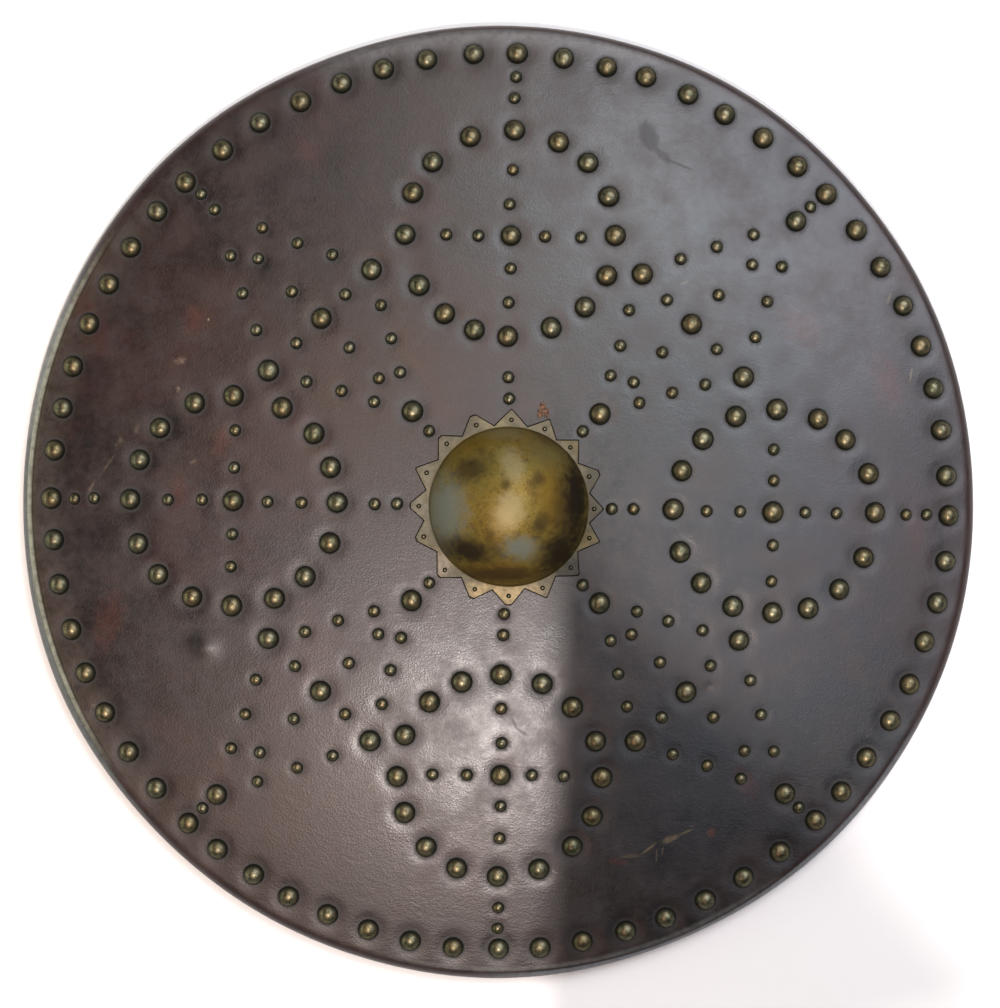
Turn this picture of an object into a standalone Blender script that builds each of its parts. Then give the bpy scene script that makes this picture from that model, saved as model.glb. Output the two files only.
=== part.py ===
"""A round Highland shield, or targe, lying face up.

A dished board covered in leather, a hollow brass boss with a toothed flange, brass studs laid
out by hand in a rim ring, four roundels and four lozenges, a hide lining behind, and a leather
arm strap and hand grip inside the hollow of the back. Metres, +Z up, the origin on the ground
under the middle of the board. Bearings turn clockwise from +Y, seen from above.
"""
import math

import bmesh
import bpy
from mathutils import Matrix, Vector

MM = 0.001
GAP = 0.3 * MM                       # clearance kept between pieces that touch

# Board
OUTER_RADIUS = 241.3 * MM            # a 19 inch board
RIM_HEIGHT = 10.0 * MM               # height of the face where it would meet the outer radius
DISH_RISE = 26.0 * MM                # how far the middle of the face stands above the rim
BOARD_THICKNESS = 13.5 * MM
EDGE_RADIUS = 5.5 * MM
BOARD_SEGMENTS = 64
BODY_RINGS = (50, 100, 150, 190)     # radii in mm where both sides of the board have a ring
OUTLINE_WAVES = ((4, 0.22, 33.0), (5, 0.35, 33.0), (6, 0.30, 9.0), (10, 0.22, -4.0))

# Lining
LINING_RADIUS = 212.0 * MM
LINING_THICKNESS = 1.2 * MM

# Boss
BOSS_CENTRE = (4.5 * MM, -3.4 * MM)
DOME_OFFSET = (0.8 * MM, 0.7 * MM)   # the dome was raised slightly off the flange's centre
DOME_RADIUS = 39.4 * MM
DOME_HEIGHT = 26.0 * MM
SHEET = 1.2 * MM                     # thickness of the brass sheet
TOOTH_COUNT = 16
TOOTH_TURN = 1.1                     # bearing of the first tooth
TOOTH_SLIPS = (1.5, 2.0, 0.5, 0.5, -0.5, -3.5, -3.0, -2.5,
               -2.0, -2.0, -1.0, 2.5, 0.5, 0.0, 0.5, 1.0)    # the teeth were cut by eye
TOOTH_TIP = 48.0 * MM
TOOTH_ROOT = 41.2 * MM
TIP_HALF_ANGLE = 0.9                 # half the blunt end of a tooth, in degrees
PIN_CIRCLE = 43.5 * MM
PIN_RADIUS = 1.05 * MM
PIN_HEIGHT = 0.8 * MM

# Studs
BIG_STUD = (5.4 * MM, 4.4 * MM)      # head radius and height
SMALL_STUD = (3.1 * MM, 2.6 * MM)
RIM_CENTRE = (1.1 * MM, -0.1 * MM)
RIM_RING_RADIUS = 225.7 * MM
RIM_QUARTERS = {"north": 2.2, "east": 91.8, "south": 180.2, "west": 270.4}
PATTERN_CENTRE = (3.9 * MM, -2.7 * MM)
ROUNDELS = {                         # distance from the pattern's centre in mm, bearing
    "north": (135.2, 1.1),
    "east": (133.3, 91.2),
    "south": (134.1, 181.1),
    "west": (136.0, 271.2),
}
LOZENGES = {                         # distance in mm, bearing, stretch, sideways slip in mm
    "northeast": (129.9, 45.5, 1.0, 1.0),
    "southeast": (129.0, 135.8, 0.967, -0.9),
    "southwest": (130.4, 225.1, 1.0, 1.0),
    "northwest": (131.3, 315.6, 1.012, -1.1),
}
LOZENGE_FLANK = 36.0 * MM            # from a lozenge's centre stud to its left and right studs
LOZENGE_INNER = 64.3 * MM            # towards the boss
LOZENGE_OUTER = 74.7 * MM            # towards the rim
SMALL_OUTER = {"northwest": 77.7 * MM}   # this corner ends in a small stud, set further out

# Straps: middle in x, width, thickness, half distance between feet, foot length
ARM_STRAP = (-78.0 * MM, 60.0 * MM, 3.0 * MM, 58.0 * MM, 26.0 * MM)
HAND_GRIP = (80.0 * MM, 30.0 * MM, 3.6 * MM, 50.0 * MM, 24.0 * MM)
STRAP_BEND = 24.0 * MM               # length over which a strap leaves the lining
STRAP_CLEARANCE = 1.2 * MM           # height of a strap's belly above the ground
NAIL = (3.0 * MM, 1.4 * MM)          # head radius and height


def flat_material(name, colour, roughness, metallic=0.0):
    """Returns a plain principled material."""
    material = bpy.data.materials.new(name)
    material.use_nodes = True
    shader = material.node_tree.nodes["Principled BSDF"]
    shader.inputs["Base Color"].default_value = (*colour, 1.0)
    shader.inputs["Roughness"].default_value = roughness
    shader.inputs["Metallic"].default_value = metallic
    return material


def add_object(name, mesh, material, matrix=None):
    """Links an object that shows the mesh in the material, and shades it smooth."""
    thing = bpy.data.objects.new(name, mesh)
    bpy.context.scene.collection.objects.link(thing)
    if not mesh.materials:
        mesh.materials.append(material)
    mesh.shade_smooth()
    mesh.set_sharp_from_angle(angle=math.radians(35))
    if matrix is not None:
        thing.matrix_world = matrix
    return thing


def at_bearing(centre, distance, bearing):
    """Returns the point at a distance and bearing from a centre."""
    angle = math.radians(bearing)
    return centre[0] + distance * math.sin(angle), centre[1] + distance * math.cos(angle)


def face_height(x, y):
    """Height of the leather face above the ground."""
    return RIM_HEIGHT + DISH_RISE * (1 - (x * x + y * y) / OUTER_RADIUS ** 2)


def back_height(x, y):
    """Height of the board's back above the ground; it is flat near the rim."""
    return max(0.0, face_height(x, y) - BOARD_THICKNESS)


def lining_height(x, y):
    """Height of the underside of the lining."""
    return back_height(x, y) - GAP - LINING_THICKNESS


def face_normal(x, y):
    """Outward normal of the dished face; the back and the lining run parallel to it."""
    slope = 2 * DISH_RISE / OUTER_RADIUS ** 2
    return Vector((slope * x, slope * y, 1.0)).normalized()


def standing_on(x, y, height, normal):
    """Placement of a piece whose base lies at a height and whose axis follows the normal."""
    turn = Vector((0, 0, 1)).rotation_difference(normal).to_matrix().to_4x4()
    return Matrix.Translation((x, y, height)) @ turn


def turned(name, profile, segments):
    """Returns a mesh turned about Z from (radius, height) points that start and end at the axis."""
    bm = bmesh.new()
    points = [bm.verts.new((radius, 0, height)) for radius, height in profile]
    edges = [bm.edges.new(pair) for pair in zip(points, points[1:])]
    bmesh.ops.spin(bm, geom=points + edges, cent=(0, 0, 0), axis=(0, 0, 1), dvec=(0, 0, 0),
                   angle=2 * math.pi, steps=segments, use_merge=True)
    bmesh.ops.remove_doubles(bm, verts=bm.verts, dist=1e-6)
    bmesh.ops.recalc_face_normals(bm, faces=bm.faces)
    mesh = bpy.data.meshes.new(name)
    bm.to_mesh(mesh)
    bm.free()
    return mesh


def outline_swell(bearing):
    """How far the hand-cut outline leaves a true circle at a bearing."""
    waves = (height * math.cos(math.radians(lobes * (bearing - crest)))
             for lobes, height, crest in OUTLINE_WAVES)
    return sum(waves) * MM


def hand_cut(mesh):
    """Moves the rim of a turned board out and in to its hand-cut outline."""
    for vertex in mesh.vertices:
        x, y, _ = vertex.co
        radius = math.hypot(x, y)
        if radius > 1e-6:
            bearing = math.degrees(math.atan2(x, y))
            swell = 1 + outline_swell(bearing) / radius * (radius / OUTER_RADIUS) ** 8
            vertex.co.x, vertex.co.y = x * swell, y * swell


def board_profile():
    """The board's section, from the middle of its back round the rim to the middle of its face."""
    flat_start = OUTER_RADIUS * math.sqrt(1 - (BOARD_THICKNESS - RIM_HEIGHT) / DISH_RISE)
    radii = [0.0] + [radius * MM for radius in BODY_RINGS] + [LINING_RADIUS]
    back = [(radius, back_height(radius, 0)) for radius in radii] + [(flat_start, 0.0)]
    middle = OUTER_RADIUS - EDGE_RADIUS
    edge = [(middle + EDGE_RADIUS * math.cos(math.radians(angle)),
             EDGE_RADIUS + EDGE_RADIUS * math.sin(math.radians(angle)))
            for angle in (-90, -50, -10, 30, 55, 77)]
    face = [(radius, face_height(radius, 0)) for radius in reversed(radii)]
    return back + edge + face


def make_board(leather):
    mesh = turned("board", board_profile(), BOARD_SEGMENTS)
    hand_cut(mesh)
    add_object("board", mesh, leather)


def make_lining(hide):
    """A sheet of hide that follows the back of the board."""
    radii = [0.0] + [radius * MM for radius in BODY_RINGS] + [LINING_RADIUS]
    under = [(radius, lining_height(radius, 0)) for radius in radii]
    over = [(radius, back_height(radius, 0) - GAP) for radius in reversed(radii)]
    mesh = turned("back_lining", under + over, BOARD_SEGMENTS)
    hand_cut(mesh)
    add_object("back_lining", mesh, hide)


def boss_profile():
    """The boss's section above the face: outside of the dome, flange, and the hollow inside."""
    ball = (DOME_RADIUS ** 2 + DOME_HEIGHT ** 2) / (2 * DOME_HEIGHT)
    foot = GAP + SHEET
    steep = math.asin(DOME_RADIUS / ball)
    inner_ball = ball - SHEET
    inner_steep = math.asin((DOME_RADIUS - SHEET * 0.6) / ball)
    steps = [step / 6 for step in range(7)]
    low = foot + DOME_HEIGHT - ball
    outside = [(ball * math.sin(steep * s), low + ball * math.cos(steep * s)) for s in steps]
    inside = [(inner_ball * math.sin(inner_steep * s), low + inner_ball * math.cos(inner_steep * s))
              for s in reversed(steps)]
    foot_inside = (inside[0][0], GAP)
    return outside + [(TOOTH_ROOT, foot), (TOOTH_ROOT, GAP), foot_inside] + inside[1:]


def tooth_bearing(tooth):
    """Bearing of a tooth's tip; tooth -1 is the one before the first."""
    return TOOTH_TURN + tooth * 360 / TOOTH_COUNT + TOOTH_SLIPS[tooth % TOOTH_COUNT]


def tooth_points():
    """Bearing and radius of the flange's outline: a root, then the two corners of a blunt tip."""
    for tooth in range(TOOTH_COUNT):
        tip = tooth_bearing(tooth)
        yield (tooth_bearing(tooth - 1) + tip) / 2, TOOTH_ROOT
        yield tip - TIP_HALF_ANGLE, TOOTH_TIP
        yield tip + TIP_HALF_ANGLE, TOOTH_TIP


def make_boss(brass):
    """A dome and its toothed flange in one sheet; the flange is hammered down to the face."""
    segments = 3 * TOOTH_COUNT
    mesh = turned("boss", boss_profile(), segments)
    outline = list(tooth_points())
    dome_centre = [middle + offset for middle, offset in zip(BOSS_CENTRE, DOME_OFFSET)]
    for vertex in mesh.vertices:
        x, y, z = vertex.co
        radius = math.hypot(x, y)
        bearing = math.degrees(math.atan2(x, y))
        if radius > TOOTH_ROOT - 1e-6:
            bearing, edge = outline[round(bearing * segments / 360) % segments]
            x, y = at_bearing(BOSS_CENTRE, edge, bearing)
        else:
            x, y = at_bearing(dome_centre, radius, bearing + TOOTH_TURN - 180 / TOOTH_COUNT)
        vertex.co = (x, y, z + face_height(x, y))
    add_object("boss", mesh, brass)


def head_profile(radius, height):
    """A domed nail head, from the middle of its flat base round to its crown."""
    crown = [(radius * math.cos(math.radians(a)) ** 0.85, height * math.sin(math.radians(a)))
             for a in (0, 26, 55)]
    return [(0.0, 0.0)] + crown + [(0.0, height)]


def make_pins(brass):
    """One small pin through each tooth of the flange."""
    mesh = turned("boss_pin", head_profile(PIN_RADIUS, PIN_HEIGHT), 8)
    for tooth in range(TOOTH_COUNT):
        x, y = at_bearing(BOSS_CENTRE, PIN_CIRCLE, tooth_bearing(tooth))
        height = face_height(x, y) + GAP + SHEET + 1.5 * GAP
        place = standing_on(x, y, height, face_normal(x, y))
        add_object(f"boss_pin_{tooth + 1:02d}", mesh, brass, place)


def stud_places():
    """Name, place and size of each stud that stands at the key points of the pattern."""
    for side, bearing in RIM_QUARTERS.items():
        yield f"stud_rim_{side}", at_bearing(RIM_CENTRE, RIM_RING_RADIUS, bearing), "big"
    for side, (distance, bearing) in ROUNDELS.items():
        yield f"stud_roundel_{side}", at_bearing(PATTERN_CENTRE, distance * MM, bearing), "big"
    for side, (distance, bearing, stretch, slip) in LOZENGES.items():
        middle = at_bearing(PATTERN_CENTRE, distance * MM, bearing)
        left = LOZENGE_FLANK - slip * MM
        right = LOZENGE_FLANK + slip * MM
        out = SMALL_OUTER.get(side, LOZENGE_OUTER * stretch)
        yield f"stud_lozenge_{side}", middle, "big"
        yield f"stud_lozenge_{side}_left", at_bearing(middle, left, bearing - 90), "big"
        yield f"stud_lozenge_{side}_right", at_bearing(middle, right, bearing + 90), "big"
        yield f"stud_inner_{side}", at_bearing(middle, -LOZENGE_INNER * stretch, bearing), "big"
        size = "small" if side in SMALL_OUTER else "big"
        yield f"stud_outer_{side}", at_bearing(middle, out, bearing), size


def make_studs(brass):
    meshes = {
        "big": turned("big_stud", head_profile(*BIG_STUD), 14),
        "small": turned("small_stud", head_profile(*SMALL_STUD), 12),
    }
    for name, (x, y), size in stud_places():
        place = standing_on(x, y, face_height(x, y) + GAP, face_normal(x, y))
        add_object(name, meshes[size], brass, place)


def smooth_step(value):
    value = min(1.0, max(0.0, value))
    return value * value * (3 - 2 * value)


def strap_height(x, y, thickness, reach):
    """Upper side of a strap: against the lining at its feet, slack and level between them."""
    slack = smooth_step((reach - abs(y)) / STRAP_BEND)
    seat = lining_height(x, y) - GAP
    return seat + slack * (STRAP_CLEARANCE + thickness - seat)


def make_strap(name, size, leather):
    """A leather loop across the hollow, as a sheet given its thickness downwards."""
    middle, width, thickness, reach, foot = size
    bm = bmesh.new()
    bmesh.ops.create_grid(bm, x_segments=4, y_segments=24, size=0.5)
    for vertex in bm.verts:
        x = middle + vertex.co.x * width
        y = vertex.co.y * 2 * (reach + foot)
        vertex.co = (x, y, strap_height(x, y, thickness, reach))
    mesh = bpy.data.meshes.new(name)
    bm.to_mesh(mesh)
    bm.free()
    strap = add_object(name, mesh, leather)
    solid = strap.modifiers.new("thickness", "SOLIDIFY")
    solid.thickness = thickness
    solid.offset = -1.0


def make_nails(name, size, brass):
    """Two nails through each foot of a strap."""
    middle, width, thickness, reach, foot = size
    mesh = turned(f"{name}_nail", head_profile(*NAIL), 10)
    spots = [(side, across) for side in (-1, 1) for across in (-1, 1)]
    for number, (side, across) in enumerate(spots, start=1):
        x = middle + across * width * 0.3
        y = side * (reach + foot * 0.6)
        normal = face_normal(x, y)
        height = lining_height(x, y) - GAP - thickness / normal.z - GAP
        place = standing_on(x, y, height, -normal)
        add_object(f"{name}_nail_{number}", mesh, brass, place)


def main():
    for thing in list(bpy.data.objects):
        bpy.data.objects.remove(thing, do_unlink=True)
    leather = flat_material("face_leather", (0.062, 0.045, 0.045), 0.42)
    hide = flat_material("back_hide", (0.20, 0.13, 0.085), 0.8)
    strap_leather = flat_material("strap_leather", (0.11, 0.06, 0.038), 0.55)
    boss_brass = flat_material("boss_brass", (0.40, 0.30, 0.12), 0.36, 1.0)
    stud_brass = flat_material("stud_brass", (0.28, 0.24, 0.13), 0.34, 1.0)
    make_board(leather)
    make_lining(hide)
    make_boss(boss_brass)
    make_pins(stud_brass)
    make_studs(stud_brass)
    for name, size in (("arm_strap", ARM_STRAP), ("hand_grip", HAND_GRIP)):
        make_strap(name, size, strap_leather)
        make_nails(name, size, stud_brass)


main()
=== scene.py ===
"""The finish of a round Highland targe: leather, brass and hide, made around its packed frame.

Lengths are metres and +Z is up, with the shield lying face up. Bearings are in degrees and turn
clockwise from +Y, seen from above. The frame gives every main size: the outline and the dish of
the board, the boss, the straps, and the key studs that the rest of the pattern hangs on.
"""

import math
import random
from collections import namedtuple
from contextlib import contextmanager

import bpy
import numpy as np
from bpy.props import FloatProperty, FloatVectorProperty, IntProperty, PointerProperty
from mathutils import Matrix, Vector, noise


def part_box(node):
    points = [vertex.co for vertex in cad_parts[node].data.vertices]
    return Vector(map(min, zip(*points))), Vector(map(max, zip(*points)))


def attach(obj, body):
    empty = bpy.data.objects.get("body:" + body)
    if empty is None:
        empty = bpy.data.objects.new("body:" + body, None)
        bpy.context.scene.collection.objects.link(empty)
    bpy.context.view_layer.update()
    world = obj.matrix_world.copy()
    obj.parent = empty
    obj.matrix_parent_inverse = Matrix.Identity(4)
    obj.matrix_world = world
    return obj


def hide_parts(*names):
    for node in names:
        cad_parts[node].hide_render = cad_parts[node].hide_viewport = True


bl_info = {
    "name": "Targe Finish",
    "version": (1, 0, 0),
    "blender": (4, 5, 0),
    "location": "3D View > Sidebar > Targe",
    "description": "Dresses the frame of a round studded shield in leather, brass and hide",
    "category": "Add Mesh",
}

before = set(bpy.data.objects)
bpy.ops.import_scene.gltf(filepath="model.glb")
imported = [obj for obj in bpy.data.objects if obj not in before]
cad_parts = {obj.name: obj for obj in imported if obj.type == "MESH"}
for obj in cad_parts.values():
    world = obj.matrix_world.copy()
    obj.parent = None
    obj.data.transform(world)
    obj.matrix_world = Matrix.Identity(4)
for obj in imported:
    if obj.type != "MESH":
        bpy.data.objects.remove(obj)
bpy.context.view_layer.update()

MM = 0.001
GAP = 0.3 * MM                        # what the frame leaves between pieces that touch
LINING = 1.2 * MM                     # thickness of the hide behind
BODY = "root"
DOME_OFFSET = (0.8 * MM, 0.7 * MM)    # the dome was raised slightly off the flange's middle
BOARD_CORNERS = 64                    # corners of the frame's board, the first one due north
SIDES = ("north", "east", "south", "west")
CORNERS = ("northeast", "southeast", "southwest", "northwest")

# How the stud pattern departs from a drawn one; angles in degrees, lengths in millimetres
RIM_STEPS = 8                         # studs from one anchor of the rim ring to the next
RIM_SLIPS = {"northeast": -0.3, "southeast": -0.7, "southwest": -1.2, "northwest": -0.9}
RIM_LEAN = 0.4                        # studs between two anchors run ahead of their even places
ROUNDEL_STUDS = 16
ROUNDELS = {                          # radius, bearing of the first stud, where the ring's middle
                                      # lies from the centre stud, and studs that went astray
    "north": (52.4, 0.0, (-0.3, 1.6), {0: 2.4, 1: 5.3, 2: 2.7, 3: 2.1, 4: 1.5, 5: 1.8, 8: 1.5,
                                       9: -2.4, 10: -6.3, 11: -7.8, 12: -1.1, 14: -2.4}),
    "east": (51.2, 1.2, (1.0, 0.4), {1: 1.7, 2: -1.2, 5: 3.5, 6: 3.8, 7: 2.0, 11: -1.7,
                                     14: -1.3, 15: -1.2}),
    "south": (51.0, 1.0, (-0.6, -0.5), {1: 1.1, 3: 1.3, 6: -1.7, 7: -1.2, 9: 1.1, 12: -1.3,
                                        14: 1.0}),
    "west": (52.4, 0.9, (0.0, 0.0), {0: -0.8, 1: 4.5, 2: 4.5, 3: 2.8, 7: -1.5, 11: -2.3,
                                     14: -1.4}),
}
ROUNDEL_ARMS = {0: (0.31, 0.63), 90: (0.33, 0.67), 180: (0.32, 0.65), 270: (0.31, 0.62)}
AXIS_INNER = (0.396, 0.478)           # small studs by the boss, as shares of the way to a roundel
AXIS_OUTER = (0.441, 0.718)           # small studs outside a roundel, as shares of the gap
LOZENGE_INNER = 64.3                  # from a lozenge's middle to its inner stud when unstretched
LOZENGE_SMALL = (                     # outwards and clockwise from a lozenge's middle
    (19.6, -0.6), (-20.1, -0.3), (0.2, 17.4), (-0.4, -17.5),
    (43.6, -0.5), (52.8, 10.7), (54.6, -10.4),
    (-41.3, -0.2), (-46.6, 9.7), (-47.6, -10.0),
    (35.3, 18.4), (18.9, 26.5), (36.3, -19.1), (19.1, -26.9),
    (-31.4, 18.1), (-16.0, 26.2), (-32.7, -17.6), (-17.1, -26.9),
    (-76.6, -0.2),
)
PAST_OUTER = 10.7                     # from a lozenge's outer stud to the small one beyond it
TEETH = (                             # how far each tooth reaches, half its blunt end in degrees
    (48.6, 0.4), (48.2, 0.4), (48.2, 0.5), (48.4, 1.6), (47.2, 0.6), (48.2, 0.6),
    (48.0, 0.8), (48.0, 0.6), (47.6, 1.8), (47.4, 1.6), (47.4, 1.4), (47.2, 1.5),
    (47.6, 1.6), (48.8, 0.6), (48.0, 1.4), (48.4, 1.8),
)

SMALL_SINK = 0.55                     # depth of a small stud's dimple, as a share of a large one's
HEAD_SEAT = 0.75                      # share of its dimple that a head sinks into

Stud = namedtuple("Stud", "x y big")

# Marks of use on the leather, in millimetres from the middle: x, y, width, length, bearing of
# the length, and how strongly the mark shows
LEATHER_SCUFFS = (
    (-159, 71, 6, 9, 70, 0.55), (-160, 56, 3, 4, 20, 0.45), (-152, 20, 2, 8, 60, 0.40),
    (-190, 30, 4, 15, 20, 0.16), (-197, 17, 1.6, 22, 35, 0.24), (-181, 36, 4, 9, 25, 0.16),
    (-204, 8, 2.5, 12, 28, 0.30), (-145, 91, 1.5, 2, 0, 0.8), (106, -94, 4, 6, 60, 0.30),
    (-46, 207, 1.2, 9, 150, 0.55), (-203, -103, 1.6, 11, 92, 0.45),
    (97.5, -163, 1.2, 2.5, 80, 1.0), (106, -166, 4, 4, 0, 0.30),
)
SCRATCHES = (                         # clean-edged ones, laid out as the scuffs are
    (66.5, -178, 3.0, 13, 86, 0.20), (75.6, -174.6, 1.5, 13, 54, 0.28), (86, -169.6, 4.4, 13, 68, 0.30),
    (94.5, -166, 2.0, 10, 66, 0.28), (79.6, -178, 1.1, 9, 2, 0.28), (82.6, -175.6, 1.0, 7, 12, 0.26),
    (76, -173.6, 0.6, 16, 50, 0.30), (-64, -142, 1.4, 7, 40, 0.25), (93, 109, 1.6, 6, 60, 0.35),
    (197, 102, 2.0, 9, 20, 0.30), (208, 64, 1.6, 10, 10, 0.30),
)
BLUE_BLACK = (                        # painted shade: where the lower right quarter is darkened blue-black, laid out the same way
    (78, -150, 140, 170, 50, 0.9), (40, -200, 70, 60, 80, 0.8), (150, -110, 60, 70, 40, 0.6),
)
RED_PATCHES = (
    (-152, 92, 14, 22, 20, 0.7), (-138, 30, 16, 24, 30, 0.5), (-160, 5, 12, 26, 0, 0.5),
    (152, 88, 40, 30, 50, 0.45), (196, 60, 22, 48, 165, 0.45), (124, -140, 26, 14, 60, 0.5),
    (60, -181, 5, 14, 95, 0.45), (107, -166, 6, 7, 0, 0.9), (-196, -60, 22, 50, 15, 0.5),
    (210, -10, 18, 60, 175, 0.3), (-205, 90, 20, 60, 155, 0.4),
    (-95, 175, 30, 18, 60, 0.35),
)
RIM_BAND_REACH = 0.241                    # from the middle to the outer edge of the painted rim bands, in metres
RIM_LIGHT_AND_SHADE = (                          # painted light and shade along the rolled edge: painted highlights and sheen on the bead, a painted shadow in the groove inside it, and a brown band that stands for light on the left margin; bearing of the middle and half width in degrees; where the band starts, how far it fades in and where it ends, from the middle in metres; colour, strength
                                      # band starts, how far it fades in and where it ends, from
                                      # the middle in metres; colour, strength
    (270, 55, 0.2130, 0.0150, 0.2350, (0.026, 0.018, 0.014), 0.8),
    (268, 42, 0.2332, 0.0008, 0.2354, (0.030, 0.024, 0.012), 0.8),
    (270, 38, 0.2350, 0.0014, 0.2385, (0.205, 0.212, 0.160), 0.85),
    (264, 42, 0.2374, 0.0014, 0.2420, (0.060, 0.066, 0.064), 0.9),
    (287, 14, 0.2365, 0.0012, 0.2420, (0.150, 0.155, 0.140), 0.6),
    (0, 30, 0.2260, 0.0100, 0.2390, (0.080, 0.079, 0.080), 0.7),
    (168, 30, 0.2345, 0.0020, 0.2380, (0.070, 0.073, 0.069), 0.7),
    (150, 36, 0.2380, 0.0008, 0.2412, (0.110, 0.120, 0.130), 0.7),
)
STAINS = (                            # grey and matt
    (75.8, 183, 11.5, 20, 158, 0.55), (83, 173.3, 5.5, 13, 135, 0.45), (91, 169, 1.8, 21, 112, 0.45),
    (8, -110.5, 2.2, 9, 155, 0.28), (12, -115, 2.0, 8, 122, 0.28),
)
DENTS = (                             # the last number is the depth, below zero for a swelling
    (-147, -73, 10, 12, 92, -1.2), (105.5, -94, 7, 9, 40, 0.35), (-43, 118, 12, 16, 30, 0.3),
    (150, -40, 14, 20, 120, 0.3), (-120, 120, 14, 10, 20, 0.25),
)


# ---------------------------------------------------------------- settings

def length(name, description, default):
    """A length that a user may change."""
    return FloatProperty(name=name, description=description, default=default, min=0.0,
                         subtype="DISTANCE", unit="LENGTH", precision=4)


def share(name, description, default):
    """A part of one that a user may change."""
    return FloatProperty(name=name, description=description, default=default, min=0.0, max=1.0,
                         subtype="FACTOR")


def colour(name, description, default):
    """A colour that a user may change."""
    return FloatVectorProperty(name=name, description=description, default=default, size=3,
                               min=0.0, max=1.0, subtype="COLOR")


class TargeLeather(bpy.types.PropertyGroup):
    """Leather over the board."""
    rings: IntProperty(name="Rings", description="Rings of faces from the middle to the rim, "
                       "in twelves", default=144, min=24, max=144)
    rim_round: length("Rim round", "Radius of the rolled edge", 5.5 * MM)
    dimple: length("Stud dimple", "How deep a large stud pulls the leather in", 0.36 * MM)
    heave: length("Heave", "Unevenness of the leather between the studs", 0.08 * MM)
    dark: colour("Dark leather", "Colour where the dye took best", (0.0036, 0.0029, 0.0030))
    brown: colour("Brown leather", "Colour where the dye has thinned", (0.0118, 0.0050, 0.0040))
    worn: colour("Worn leather", "Colour of rubbed and scratched places", (0.19, 0.135, 0.09))
    roughness: share("Roughness", "Roughness of the waxed surface", 0.36)
    grain: length("Grain", "Width of one grain of the skin", 1.0 * MM)


class TargeBrass(bpy.types.PropertyGroup):
    """Brass of the boss, its pins and the studs."""
    boss: colour("Boss", "Brushed brass of the dome", (0.118, 0.090, 0.019))
    flange: colour("Flange", "Duller brass of the flange", (0.100, 0.089, 0.060))
    tarnish: colour("Tarnish", "Brown blotches on the dome", (0.022, 0.013, 0.006))
    stud: colour("Studs", "Darkened brass of the studs", (0.112, 0.104, 0.066))
    # colour of packed soil, also of the painted shade on the flanks of each head
    dirt_and_shade: colour("Dirt", "Wax and dirt round the foot of a stud", (0.021, 0.020, 0.014))
    boss_roughness: share("Boss roughness", "Roughness of the brushed dome", 0.50)
    stud_roughness: share("Stud roughness", "Roughness of the studs", 0.34)


class TargeStuds(bpy.types.PropertyGroup):
    """Domed nail heads of the pattern."""
    big_radius: length("Large radius", "Radius of a large head", 5.4 * MM)
    big_height: length("Large height", "Height of a large head", 4.4 * MM)
    small_radius: length("Small radius", "Radius of a small head", 3.1 * MM)
    small_height: length("Small height", "Height of a small head", 2.6 * MM)
    lean: FloatProperty(name="Lean", description="Most that a head leans", default=0.055,
                        subtype="ANGLE", unit="ROTATION")
    stray: length("Stray", "How far hand setting moves a stud", 0.3 * MM)


class TargeBoss(bpy.types.PropertyGroup):
    """Raised brass boss with a toothed flange."""
    dome_radius: length("Dome radius", "Radius of the dome at its foot", 39.4 * MM)
    tooth_root: length("Tooth root", "Radius of the valleys between teeth", 41.0 * MM)
    sheet: length("Sheet", "Thickness of the brass", 1.2 * MM)
    teeth: IntProperty(name="Teeth", description="Teeth round the flange", default=16, min=3)
    first_tooth: FloatProperty(name="First tooth", description="Bearing of the first tooth",
                               default=math.radians(1.1), subtype="ANGLE", unit="ROTATION")
    pin_radius: length("Pin radius", "Radius of the pin heads in the teeth", 1.25 * MM)


class TargeBack(bpy.types.PropertyGroup):
    """Hide lining and the straps behind."""
    hide: colour("Hide", "Colour of the lining", (0.20, 0.13, 0.085))
    strap: colour("Strap leather", "Colour of the straps", (0.11, 0.06, 0.038))
    edge_round: length("Edge round", "Rounding of the strap edges", 0.6 * MM)


class TargeStage(bpy.types.PropertyGroup):
    """Floor, lights and camera."""
    lens: FloatProperty(name="Lens", description="Focal length", default=100.0, min=10.0,
                        unit="CAMERA")
    camera_height: length("Camera height", "Height of the camera above the floor", 1.4249)
    floor: colour("Floor", "Colour of the floor", (0.66, 0.66, 0.655))
    room: FloatProperty(name="Room light", description="Brightness of the room's pale walls",
                        default=0.9)
    lamp: FloatProperty(name="Lamp", description="Power of the small lamp overhead",
                        default=31.0, unit="POWER")


SETTINGS = {
    "targe_leather": TargeLeather,
    "targe_brass": TargeBrass,
    "targe_studs": TargeStuds,
    "targe_boss": TargeBoss,
    "targe_back": TargeBack,
    "targe_stage": TargeStage,
}


# ---------------------------------------------------------------- reading the frame

def spot_of(node):
    """Middle of a frame node, seen from above."""
    low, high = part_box(node)
    return np.array([(low.x + high.x) / 2, (low.y + high.y) / 2])


def heading(bearing):
    """Unit vector of a bearing."""
    return np.array([math.sin(math.radians(bearing)), math.cos(math.radians(bearing))])


def bearing_of(vector):
    """Bearing of a vector, from 0 to 360."""
    return math.degrees(math.atan2(vector[0], vector[1])) % 360


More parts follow.
